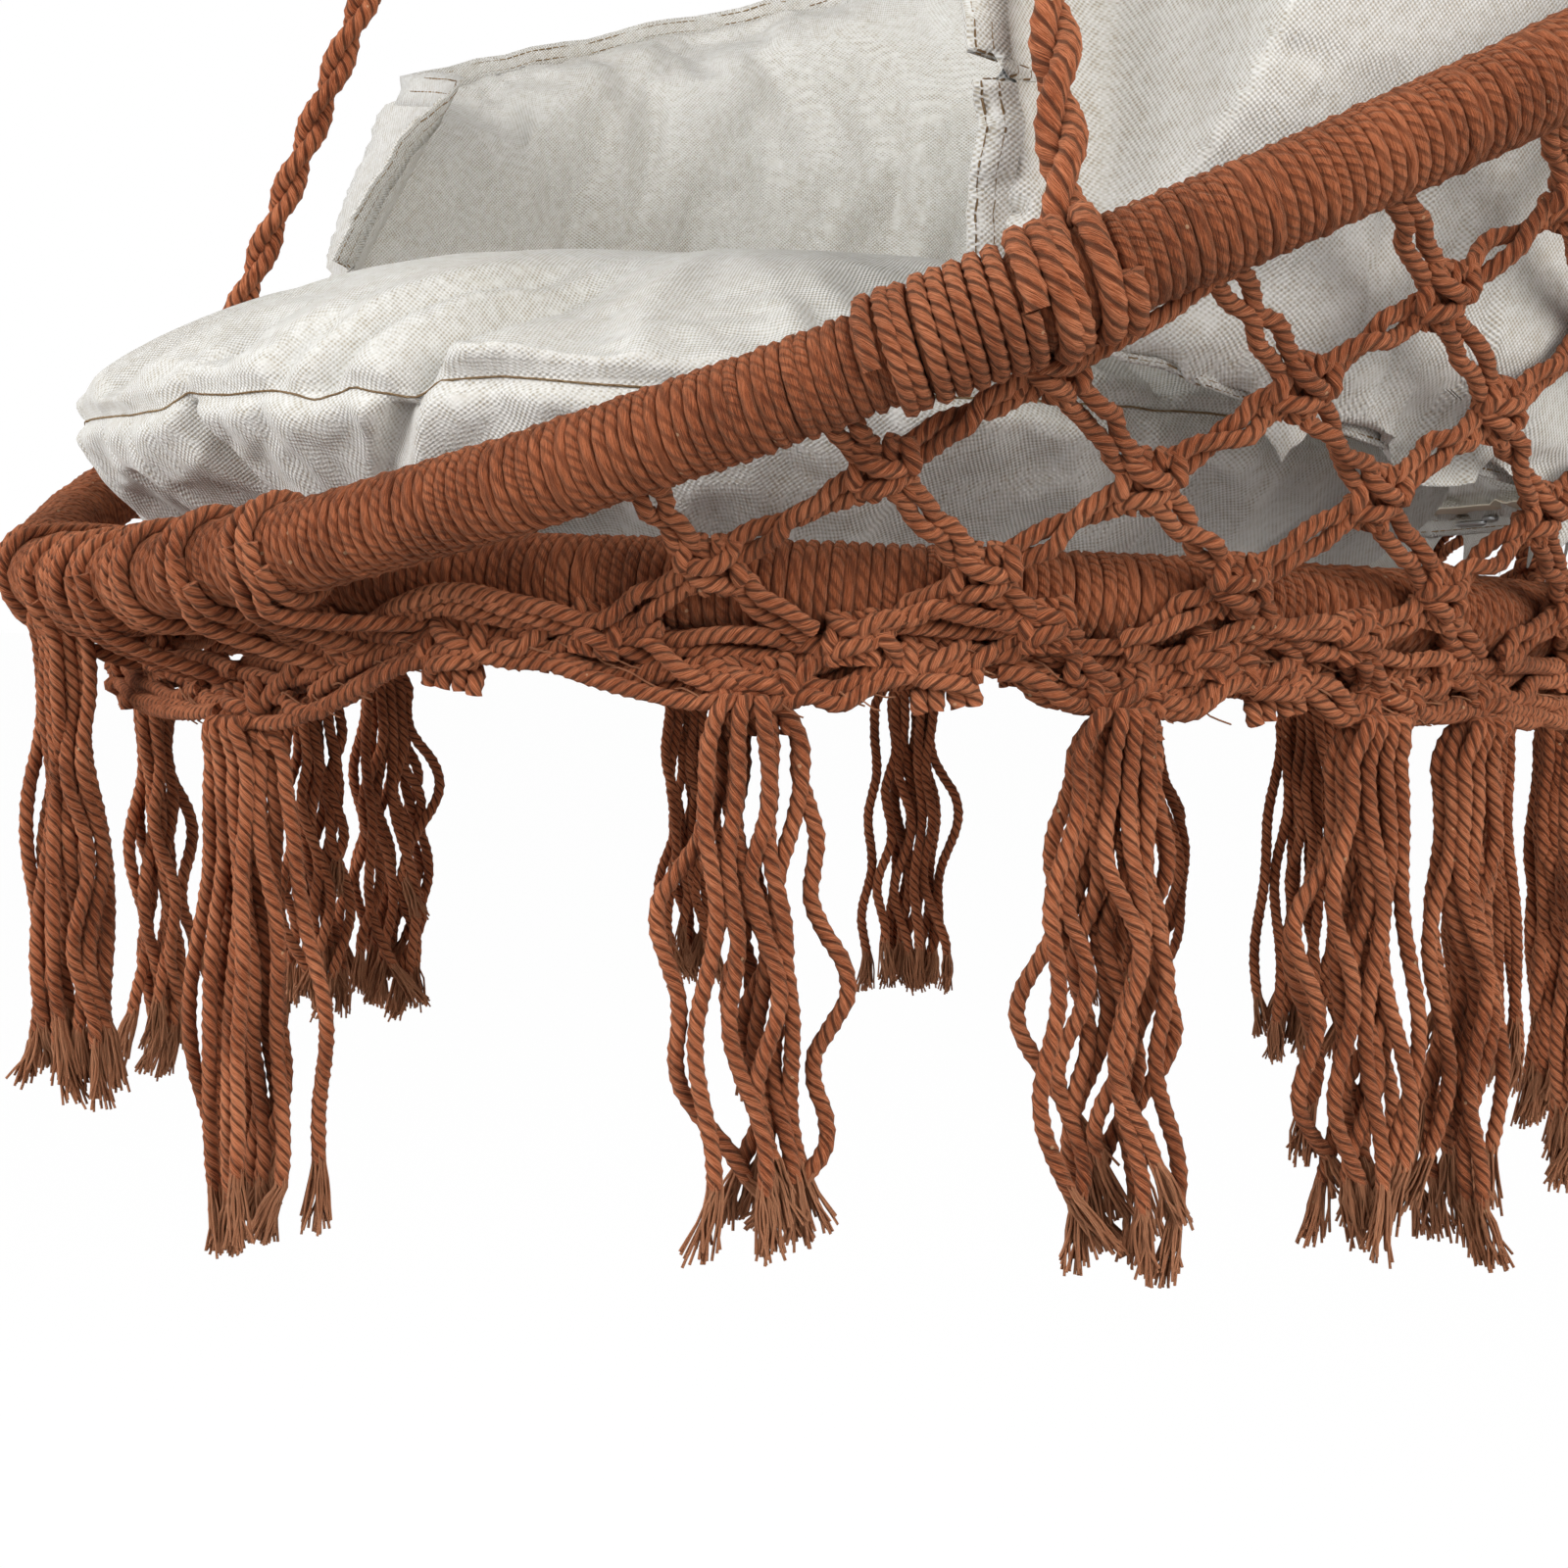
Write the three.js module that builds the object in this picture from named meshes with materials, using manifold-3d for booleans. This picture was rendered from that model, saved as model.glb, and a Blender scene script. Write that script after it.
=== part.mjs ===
// A hammock chair: two cord-wrapped steel hoops, a knotted cord net between them,
// a cord fringe below, two canvas cushions, and two ropes that hang it from a steel ring.
// Millimetres, +Z up. The origin is where the hook bears, on the inside top of the ring.
// The sitter faces -Y, so the sitter's left is +X.
import * as THREE from "three";
import { mergeVertices } from "three/addons/utils/BufferGeometryUtils.js";
import Module from "manifold-3d";

const wasm = await Module();
wasm.setup();

// Whole chair
const hangDrop = 985; // from the hook down to the middle of the seat hoop
const seatShift = -58; // the seat's middle ahead of the hook, which brings the weight under it
const seatTiltDeg = 2.45; // front of the seat hoop is this much higher
const clearance = 0.4; // between pieces that touch on the real chair

// Hanging ring
const ringBore = 52;
const ringWire = 9;
const ringSegments = 24;
const ringSides = 8;

// Suspension ropes
const ropeWidth = 13;
const ropeSides = 6;
const loopSpacing = 15; // between the two rope loops, along the ring's wire
const loopRadius = 13; // of a loop's middle line, round the wire
const loopSteps = 8;
const loopLegLength = 64; // straight part of a loop, down into the top whipping
const ropeStraightLength = 42; // straight part of a leg, up into the top whipping

// Windings: cord, the turns that are modelled, and their fineness
const whipCord = 6;
const turnGap = 0.9;
const turnSteps = 8;
const cordSides = 4;
const topWhipTurns = 9;
const hoopWhipTurns = 6;
const lashingTurns = 3;

// Hoops: bent steel tube with a cord wrap
const backHoopRadius = 386;
const seatHoopRadius = 286;
const tubeWidth = 20;
const tubeBore = 17;
const wrapWidth = 29;
const buttGap = 0.6; // between the two ends of a tube or a wrap
const spigotLength = 80;
const backSegments = 32;
const seatSegments = 28;
const wrapSides = 8;
const tubeSides = 6;
const backHoopTiltDeg = 27.96; // to the plane of the seat hoop
const backFrontAhead = 35; // front of the back hoop ahead of the front of the seat hoop
const backFrontBelow = 5.3;

// Where the ropes and lashings hold the hoops, degrees from the front towards the left
const leftFrontRopeDeg = 58.5;
const rightFrontRopeDeg = 53; // tied by eye, so a little nearer the front than on the left
const rearRopeDeg = 131;
const whipOffsetDeg = 5.2; // from a rope to the middle of the winding beside it
const eyeRadialGap = 0.5; // from an eye's rope to the flats of the wrap
const lashingPlaces = [-84, 8, 62]; // middle of each lashing, along X

// Side net: columns of knots round the seat hoop, rows up to the back hoop
const netColumns = 24;
const firstColumnDeg = 47.3;
const netRowStep = 28;
const netFirstRow = 5;
const netStretchFrom = 3;
const netStretch = 3; // each row past that one is taller by this much more
const netLeanDeg = 1.3; // each row leans this much towards the front
const netKnotWidth = 17;
const netKnotHeight = 13;
const netThickness = 8;
const netRows = 11;
const cordReachShare = 0.86; // of the way to a knot that is left out, so two cords don't meet
const netKnotRoom = 1.5; // a knot that would come nearer than this to the back hoop is left out

// Seat net
const seatNetPitch = 92;
const seatNetKnot = 18;
const seatNetThickness = 7;

// Fringe: a zigzag band under the seat hoop, with tassels on some of its lower knots
const hemStations = [
  [12.6, true],
  [31, false],
  [50.4, true],
  [61, false],
  [72.1, true],
  [82, false],
  [91.5, true],
  [101.8, true],
  [124, true],
  [147, true],
  [160.4, true],
  [172, false],
  [185.4, true],
  [205.7, true],
  [218, false],
  [229.8, true],
  [241, false],
  [252.6, true],
  [270, false],
  [287.9, true],
  [297.6, true],
  [312, false],
  [327, true],
  [345, false],
];
const hemTop = 15;
const hemBottom = 33;
const hemFrontDrop = 15; // lower at the front, where the lashings pass under the hoops
const hemFrontDeg = 30;
const hemKnotWidth = 20;
const hemKnotHeight = 11;
const hemThickness = 8;
const tasselLength = 172;
const tasselStrands = 5;
const tasselCord = 6;
const tasselKnotWidth = 24;
const tasselKnotHeight = 15;
const tasselSpread = 17; // from the middle of a tassel to the strands round it, at their ends
const frontTasselPlace = -30; // along X, under the front of the back hoop
const frontTasselDrop = 14;

// Seat cushion
const seatCushionWidth = 536;
const seatCushionDepth = 540;
const seatCushionAhead = 46;
const seatCushionSeam = 58;
const seatCushionCrown = 55;
const seatCushionBelly = 62;
const seatCushionPuckers = 10;
const seatCushionPucker = 3;

// Back cushion, wrapped round inside the net
const backCushionFirstDeg = 66;
const backCushionBottom = 56;
const backCushionEndTop = 180;
const backCushionOver = 28; // its middle stands this far above the back hoop
const backCushionBottomOut = 22; // its lower edge outside the middle of the seat hoop
const backCushionTopIn = 29; // its upper edge inside the middle of the back hoop
const backCushionThickness = 96;
const backCushionBulge = 9;

// Both cushions
const canvas = 1.5;
const seatZipColumns = [9, 13];
const backZipColumns = [15, 18];
const zipRow = 3;
const seamPullShare = 0.3; // how far the filling draws back from a cover's seam
const cushionAround = 22;
const cushionAcross = 8;

// Colours
const rust = 0x9a4a2e;
const rustDark = 0x84402a;
const ecru = 0xd9d4c6;
const white = 0xe9e7e0;
const steel = 0x8c8f92;

const rad = THREE.MathUtils.degToRad;
const vec = (x, y, z) => new THREE.Vector3(x, y, z);

// A material per kind of stuff.
const cordStuff = new THREE.MeshStandardMaterial({ color: rust, roughness: 0.95, metalness: 0 });
const windStuff = new THREE.MeshStandardMaterial({ color: rustDark, roughness: 0.95, metalness: 0 });
const canvasStuff = new THREE.MeshStandardMaterial({ color: ecru, roughness: 0.9, metalness: 0 });
const fibreStuff = new THREE.MeshStandardMaterial({ color: white, roughness: 1, metalness: 0 });
const steelStuff = new THREE.MeshStandardMaterial({ color: steel, roughness: 0.35, metalness: 1 });

// A curve given by a formula, stepped evenly in its own parameter from 0 to 1.
class FormulaCurve extends THREE.Curve {
  constructor(place) {
    super();
    this.place = place;
  }
  getPoint(t) {
    return this.place(t);
  }
  getUtoTmapping(u) {
    return u;
  }
}

function polygon(radius, sides) {
  const points = [];
  for (let i = 0; i < sides; i++) {
    const a = (i / sides) * 2 * Math.PI;
    points.push(new THREE.Vector2(radius * Math.cos(a), radius * Math.sin(a)));
  }
  return points;
}

// A tube along a formula, with a bore if one is given.
function tubeAlong(place, steps, width, sides, bore = 0) {
  const section = new THREE.Shape(polygon(width / 2, sides));
  if (bore > 0) section.holes.push(new THREE.Path(polygon(bore / 2, sides)));
  const extrudePath = new FormulaCurve(place);
  return new THREE.ExtrudeGeometry(section, { steps, extrudePath, bevelEnabled: false });
}

// A closed solid from a sheet: each corner has an outer and an inner point, and each face lists
// its corners anticlockwise as seen from outside. Open edges get a wall.
function slab(corners, faces) {
  const points = [];
  const push = (...list) => list.forEach((p) => points.push(p.x, p.y, p.z));
  const edges = new Map();
  for (const face of faces) {
    for (let i = 1; i + 1 < face.length; i++) {
      const [a, b, c] = [corners[face[0]], corners[face[i]], corners[face[i + 1]]];
      push(a.outer, b.outer, c.outer);
      push(a.inner, c.inner, b.inner);
    }
    face.forEach((from, i) => {
      const to = face[(i + 1) % face.length];
      if (edges.has(to + "," + from)) edges.delete(to + "," + from);
      else edges.set(from + "," + to, [corners[from], corners[to]]);
    });
  }
  for (const [from, to] of edges.values()) {
    push(from.outer, from.inner, to.outer);
    push(to.outer, from.inner, to.inner);
  }
  const attribute = new THREE.Float32BufferAttribute(points, 3);
  return new THREE.BufferGeometry().setAttribute("position", attribute);
}

// A three.js geometry as a solid that can be cut and joined, and back again.
function solidOf(geometry) {
  const bare = geometry.clone();
  bare.deleteAttribute("normal");
  bare.deleteAttribute("uv");
  const merged = mergeVertices(bare, 1e-3);
  const vertProperties = new Float32Array(merged.attributes.position.array);
  const triVerts = new Uint32Array(merged.index.array);
  return new wasm.Manifold(new wasm.Mesh({ numProp: 3, vertProperties, triVerts }));
}

function geometryOf(solid) {
  const { vertProperties, triVerts, numProp } = solid.getMesh();
  const buffer = new THREE.InterleavedBuffer(vertProperties, numProp);
  const places = new THREE.InterleavedBufferAttribute(buffer, 3, 0);
  const geometry = new THREE.BufferGeometry().setAttribute("position", places);
  geometry.setIndex(new THREE.BufferAttribute(triVerts, 1));
  return geometry.toNonIndexed();
}

// Groups: the whole part, and the seat's own frame, with the seat hoop's middle at its origin.
const chair = new THREE.Group();
const seatFrame = new THREE.Group();
seatFrame.position.set(0, seatShift, -hangDrop);
seatFrame.rotation.x = -rad(seatTiltDeg);
chair.add(seatFrame);
seatFrame.updateMatrixWorld(true);

function piece(group, name, geometry, material) {
  const mesh = new THREE.Mesh(geometry, material);
  mesh.name = name;
  group.add(mesh);
  return mesh;
}

// Middle lines of the two hoops, by the angle from the front towards the left.
const backCosTilt = backHoopRadius * Math.cos(rad(backHoopTiltDeg));
const backSinTilt = backHoopRadius * Math.sin(rad(backHoopTiltDeg));
const backFront = -(seatHoopRadius + backFrontAhead);

function onSeatHoop(a) {
  return vec(seatHoopRadius * Math.sin(a), -seatHoopRadius * Math.cos(a), 0);
}

function onBackHoop(a) {
  const back = 1 - Math.cos(a);
  const y = backFront + backCosTilt * back;
  return vec(backHoopRadius * Math.sin(a), y, backSinTilt * back - backFrontBelow);
}

// A hoop is faceted, so what goes round it follows the middle of its flat stretches.
function facetShare(steps, a) {
  const step = (2 * Math.PI) / steps;
  const past = a - step * Math.floor(a / step);
  return Math.cos(step / 2) / Math.cos(past - step / 2);
}

const backMiddle = onBackHoop(0).lerp(onBackHoop(Math.PI), 1 / 2);
const backUp = vec(0, -Math.sin(rad(backHoopTiltDeg)), Math.cos(rad(backHoopTiltDeg)));

function onSeatBar(a) {
  return onSeatHoop(a).multiplyScalar(facetShare(seatSegments, a));
}

function onBackBar(a) {
  return backMiddle.clone().lerp(onBackHoop(a), facetShare(backSegments, a));
}

// Part of a hoop from one angle to another, as a tube round its middle line.
function hoopPart(onHoop, from, to, steps, width, sides, bore) {
  return tubeAlong((t) => onHoop(from + (to - from) * t), steps, width, sides, bore);
}

// A hoop's tube or wrap: nearly a full turn, with its butt at the given angle.
function hoopTurn(onHoop, radius, butt, steps, width, sides, bore) {
  const half = buttGap / 2 / radius;
  const [from, to] = [butt + half, butt + 2 * Math.PI - half];
  return hoopPart(onHoop, from, to, steps, width, sides, bore);
}

// Hanging ring: round steel wire, welded shut.
const ringMiddle = vec(0, 0, -ringBore / 2);
const ringRadius = (ringBore + ringWire) / 2;
const wireSection = polygon(ringWire / 2, ringSides).map((p) => p.add({ x: ringRadius, y: 0 }));
wireSection.push(wireSection[0]);
const ring = new THREE.LatheGeometry(wireSection, ringSegments);
piece(chair, "hanging_ring", ring, steelStuff).position.copy(ringMiddle);

// The middle of the ring's lowest wire, which the loops hang on and swing about.
const wireLow = -ringBore - ringWire / 2;

// Rope loops: each goes over the wire, with both legs straight down into the top whipping.
const loopTurn = Math.PI * loopRadius;
const loopWay = loopTurn + 2 * loopLegLength;
function onLoop(x, along) {
  const round = along - loopLegLength;
  if (round < 0) return vec(x, -loopRadius, wireLow + round);
  if (round > loopTurn) return vec(x, loopRadius, wireLow - (round - loopTurn));
  const a = round / loopRadius;
  return vec(x, -loopRadius * Math.cos(a), wireLow + loopRadius * Math.sin(a));
}

function loopGeometry(x) {
  const stops = [0];
  for (let i = 0; i <= loopSteps; i++) stops.push(loopLegLength + (loopTurn * i) / loopSteps);
  stops.push(loopWay);
  const steps = stops.length - 1;
  const place = (t) => {
    const i = Math.min(steps - 1, Math.floor(t * steps));
    const share = t * steps - i;
    return onLoop(x, stops[i]).lerp(onLoop(x, stops[i + 1]), share);
  };
  return tubeAlong(place, steps, ropeWidth, ropeSides);
}

for (const [name, side] of [["left", 1], ["right", -1]]) {
  piece(chair, name + "_rope_loop", loopGeometry((side * loopSpacing) / 2), cordStuff);
}

// Legs: from inside the top whipping down to an eye round the back hoop.
const loopEnd = wireLow - loopLegLength;
const legTop = loopEnd - clearance;
const legBend = legTop - ropeStraightLength;
const wrapFlats = wrapWidth * Math.cos(Math.PI / wrapSides);
const eyeWidth = wrapFlats + 2 * eyeRadialGap + ropeWidth;
const eyeSteps = 8;
const eyeRadius = eyeWidth / 2 / Math.cos(Math.PI / eyeSteps);
const eyeReach = eyeRadius + ropeWidth / 2;

function eyeRound(a) {
  const middle = onBackBar(a);
  const out = middle.clone().sub(backMiddle).normalize();
  const at = (turn) =>
    middle
      .clone()
      .addScaledVector(out, eyeRadius * Math.cos(turn))
      .addScaledVector(backUp, eyeRadius * Math.sin(turn));
  const half = (from) => tubeAlong((t) => at(from + t * Math.PI), eyeSteps / 2, ropeWidth, ropeSides);
  return solidOf(half(0)).add(solidOf(half(Math.PI)));
}

function legGeometry(side, deg, front) {
  const a = rad(side * deg);
  const hoop = onBackBar(a).applyMatrix4(seatFrame.matrixWorld);
  const x = (side * loopSpacing) / 2;
  const y = front ? -loopRadius : loopRadius;
  const bend = vec(x, y, legBend);
  const towards = bend.clone().sub(hoop).normalize();
  const foot = hoop.clone().addScaledVector(towards, eyeWidth / 2);
  const stops = [vec(x, y, legTop), bend, foot];
  const steps = stops.length - 1;
  const place = (t) => {
    const i = Math.min(steps - 1, Math.floor(t * steps));
    return stops[i].clone().lerp(stops[i + 1], t * steps - i);
  };
  const leg = solidOf(tubeAlong(place, steps, ropeWidth, ropeSides));
  const eye = solidOf(geometryOf(eyeRound(a)).applyMatrix4(seatFrame.matrixWorld));
  return geometryOf(leg.add(eye));
}

const ropeSidesOfChair = [
  ["left", 1, leftFrontRopeDeg],
  ["right", -1, rightFrontRopeDeg],
];
for (const [name, side, frontDeg] of ropeSidesOfChair) {
  piece(chair, "rope_front_" + name, legGeometry(side, frontDeg, true), cordStuff);
  piece(chair, "rope_rear_" + name, legGeometry(side, rearRopeDeg, false), cordStuff);
}

// The least gap between the turns of a winding, measured between points of its middle line
// that are at least half a turn apart.
function leastGap(place, steps, width) {
  const points = [];
  for (let i = 0; i <= steps * 4; i++) points.push(place(i / (steps * 4)));
  let least = Infinity;
  points.forEach((p, i) => {
    for (let j = i + turnSteps * 2; j < points.length; j++) {
      least = Math.min(least, p.distanceTo(points[j]) - width);
    }
  });
  return least;
}

function winding(name, group, place, turns, stepsATurn = turnSteps) {
  const steps = turns * stepsATurn;
  const gap = leastGap(place, steps, whipCord);
  console.log(name + ": least gap between turns " + gap.toFixed(2) + " mm");
  piece(group, name, tubeAlong(place, steps, whipCord, cordSides), windStuff);
}

// A flat-sided turn has to stand off so that the middle of each side clears what it goes round.
const turnStand = 1 / Math.cos(Math.PI / turnSteps);
const turnPitch = whipCord + turnGap;

// Top whipping round the four rope ends.
const ropeFlats = ropeWidth * Math.cos(Math.PI / ropeSides);
const bundleRadius = Math.hypot(loopSpacing / 2, loopRadius) + ropeFlats / 2;
const topWhipRadius = (bundleRadius + clearance + whipCord / 2) * turnStand;
const topWhipStart = loopEnd - clearance / 2 + (topWhipTurns * turnPitch) / 2;
winding(
  "top_whipping",
  chair,
  (t) => {
    const a = t * topWhipTurns * 2 * Math.PI;
    const z = topWhipStart - t * topWhipTurns * turnPitch;
    return vec(topWhipRadius * Math.cos(a), topWhipRadius * Math.sin(a), z);
  },
  topWhipTurns,
);

// Hoops
for (const [name, onHoop, onBar, radius, steps] of [
  ["back_hoop", onBackHoop, onBackBar, backHoopRadius, backSegments],
  ["seat_hoop", onSeatHoop, onSeatBar, seatHoopRadius, seatSegments],
]) {
  const tube = hoopTurn(onHoop, radius, Math.PI, steps, tubeWidth, tubeSides, tubeBore);
  piece(seatFrame, name + "_tube", tube, steelStuff);
  const half = spigotLength / 2 / radius;
  const spigotWidth = tubeBore - (2 * clearance) / Math.cos(Math.PI / tubeSides);
  const spigot = hoopPart(onBar, Math.PI - half, Math.PI + half, 2, spigotWidth, tubeSides);
  piece(seatFrame, name + "_spigot", spigot, steelStuff);
  const wrapBore = (tubeWidth + 2 * clearance) / Math.cos(Math.PI / wrapSides);
  const wrap = hoopTurn(onHoop, radius, 0, steps, wrapWidth, wrapSides, wrapBore);
  piece(seatFrame, name + "_wrap", wrap, windStuff);
}

// Windings on the back hoop, beside each rope's eye, towards the front.
const hoopTurnRadius = (wrapWidth / 2 + clearance + whipCord / 2) * turnStand;

function hoopWhip(deg) {
  const middle = rad(deg);
  const half = (hoopWhipTurns * turnPitch) / 2 / backHoopRadius;
  return (t) => {
    const a = middle + half * (2 * t - 1);
    const out = onBackBar(a).sub(backMiddle).normalize();
    const turn = t * hoopWhipTurns * 2 * Math.PI;
    return onBackBar(a)
      .addScaledVector(out, hoopTurnRadius * Math.cos(turn))
      .addScaledVector(backUp, hoopTurnRadius * Math.sin(turn));
  };
}

const whipPlaces = [];
for (const [name, side, frontDeg] of ropeSidesOfChair) {
  for (const [end, deg] of [["front", frontDeg], ["rear", rearRopeDeg]]) {
    const middle = side * (deg - whipOffsetDeg);
    whipPlaces.push([rad(middle), rad(side * deg)]);
    winding("whipping_" + end + "_" + name, seatFrame, hoopWhip(middle), hoopWhipTurns);
  }
}

// Lashings round both hoops at the front: each turn goes round the two tubes side by side,
// a quarter of the way round each between the straight stretches above and below.
const lashingDegs = [0, 45, 90, 90, 135, 180, 225, 270, 270, 315];
const lashingOuter = [false, false, false, true, true, true, true, true, false, false];

function lashing(x) {
  const length = lashingTurns * turnPitch;
  const stop = (i) => {
    const at = x + length * (i / (lashingTurns * lashingDegs.length) - 1 / 2);
    const k = i % lashingDegs.length;
    const inner = onSeatBar(Math.asin(at / seatHoopRadius));
    const outer = onBackBar(Math.asin(at / backHoopRadius));
    const centre = lashingOuter[k] ? outer : inner;
    const turn = rad(lashingDegs[k]);
    const [y, z] = [Math.cos(turn) * hoopTurnRadius, Math.sin(turn) * hoopTurnRadius];
    return vec(at, centre.y + y, centre.z + z);
  };
  return (t) => {
    const steps = lashingTurns * lashingDegs.length;
    const i = Math.min(steps - 1, Math.floor(t * steps));
    return stop(i).lerp(stop(i + 1), t * steps - i);
  };
}

["right", "middle", "left"].forEach((name, i) => {
  const place = lashing(lashingPlaces[i]);
  winding("lashing_" + name, seatFrame, place, lashingTurns, lashingDegs.length);
});

// Side net. Its surface runs from the outside of the seat hoop to the middle of the back hoop.
const netStandOff = wrapWidth / 2 + clearance + netThickness / 2;

function onNet(a, z) {
  const low = onSeatHoop(a).multiplyScalar(1 + netStandOff / seatHoopRadius);
  const high = onBackHoop(a);
  return low.lerp(high, z / high.z);
}

function netCorner(a, z, thickness) {
  const step = 1e-3;
  const rise = step * seatHoopRadius;
  const along = onNet(a + step, z).sub(onNet(a - step, z));
  const up = onNet(a, z + rise).sub(onNet(a, z - rise));
  const out = along.cross(up).normalize().multiplyScalar(thickness / 2);
  const middle = onNet(a, z);
  return { outer: middle.clone().add(out), inner: middle.clone().sub(out) };
}

function rowHeight(row) {
  const past = Math.max(0, row - netStretchFrom);
  return netFirstRow + netRowStep * row + netStretch * past * past;
}

// How thick the back hoop is at an angle, with its windings and the ropes' eyes, and with room
// for the width of a net cord beside an eye.
function backHoopReach(a) {
  const within = ([middle, half]) => Math.abs(a - middle) < half;
  const whipHalf = ((hoopWhipTurns + 1) * turnPitch) / 2 / backHoopRadius;
  const eyeHalf = (ropeWidth + netKnotWidth) / 2 / backHoopRadius;
  if (whipPlaces.some(([, eye]) => within([eye, eyeHalf]))) return eyeReach;
  if (whipPlaces.some(([whip]) => within([whip, whipHalf]))) return hoopTurnRadius + whipCord / 2;
  return wrapWidth / 2;
}

// Whether all the net's corners at these places clear the back hoop by so much.
function clearsBackHoop(ends, room) {
  return ends.every(([a, z]) => {
    const { outer, inner } = netCorner(a, z, netThickness);
    return [outer, inner].every((point) => {
      const off = point.clone().sub(backMiddle);
      const above = off.dot(backUp);
      const radial = Math.sqrt(off.lengthSq() - above * above);
      const angle = Math.atan2(off.x, -off.y / Math.cos(rad(backHoopTiltDeg)));
      const bar = backHoopRadius * facetShare(backSegments, angle);
      const distance = Math.hypot(radial - bar, above);
      return distance > backHoopReach(angle) + clearance + room;
    });
  });
}

function netGeometry() {
  const corners = [];
  const faces = [];
  const corner = (a, z) => corners.push(netCorner(a, z, netThickness)) - 1;
  const pitch = (2 * Math.PI) / netColumns;
  const knots = new Map();
  const place = (row, column) => {
    const a = rad(firstColumnDeg) + pitch * (column + (row % 2) / 2);
    return { a: a - rad(netLeanDeg) * row * Math.sin(a), z: rowHeight(row) };
  };
  const shiftUp = (row, way) => (way > 0 ? row % 2 : (row % 2) - 1);
  const keyAbove = (row, column, way) => {
    const next = (column + shiftUp(row, way) + netColumns) % netColumns;
    return row + 1 + "," + next;
  };
  for (let row = 0; row < netRows; row++) {
    for (let column = 0; column < netColumns; column++) {
      const { a, z } = place(row, column);
      const [w, h] = [netKnotWidth / 2 / seatHoopRadius, netKnotHeight / 2];
      const ends = [[a + w, z], [a, z + h], [a - w, z], [a, z - h]];
      if (z > onBackHoop(a).z || !clearsBackHoop(ends, netKnotRoom)) continue;
      knots.set(row + "," + column, { a, z, row, column, ends });
    }
  }
  for (const [key, { row, column, ends }] of knots) {
    // In front, where the hoops nearly meet, a lowest knot with none above it isn't tied.
    const tied = [1, -1].some((way) => knots.has(keyAbove(row, column, way)));
    if (row === 0 && !tied) knots.delete(key);
    else {
      const [right, top, left, bottom] = ends.map(([angle, height]) => corner(angle, height));
      faces.push([right, top, left, bottom]);
      Object.assign(knots.get(key), { right, top, left, bottom });
    }
  }
  for (const knot of knots.values()) {
    const { row, column } = knot;
    for (const way of [1, -1]) {
      const shift = shiftUp(row, way);
      const above = knots.get(keyAbove(row, column, way));
      if (above) {
        if (way > 0) faces.push([knot.right, above.bottom, above.left, knot.top]);
        else faces.push([knot.left, knot.top, above.right, above.bottom]);
        continue;
      }
      // A cord with no knot above it runs on to the back hoop, and stops just clear of it.
      const target = place(row + 1, column + shift);
      const w = (way * netKnotWidth) / 4 / seatHoopRadius;
      const endAt = (share) => {
        const a = knot.a + (target.a - knot.a) * share;
        const z = knot.z + (target.z - knot.z) * share;
        return [[a - w, z], [a + w, z]];
      };
      let [low, high] = [0, cordReachShare];
      for (let i = 0; i < 20; i++) {
        const share = (low + high) / 2;
        if (clearsBackHoop(endAt(share), 0)) low = share;
        else high = share;
      }
      const [near, far] = endAt(low).map(([a, z]) => corner(a, z));
      if (way > 0) faces.push([knot.right, far, near, knot.top]);
      else faces.push([knot.left, knot.top, near, far]);
    }
  }
  return slab(corners, faces);
}

piece(seatFrame, "side_net", netGeometry(), cordStuff);

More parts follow.
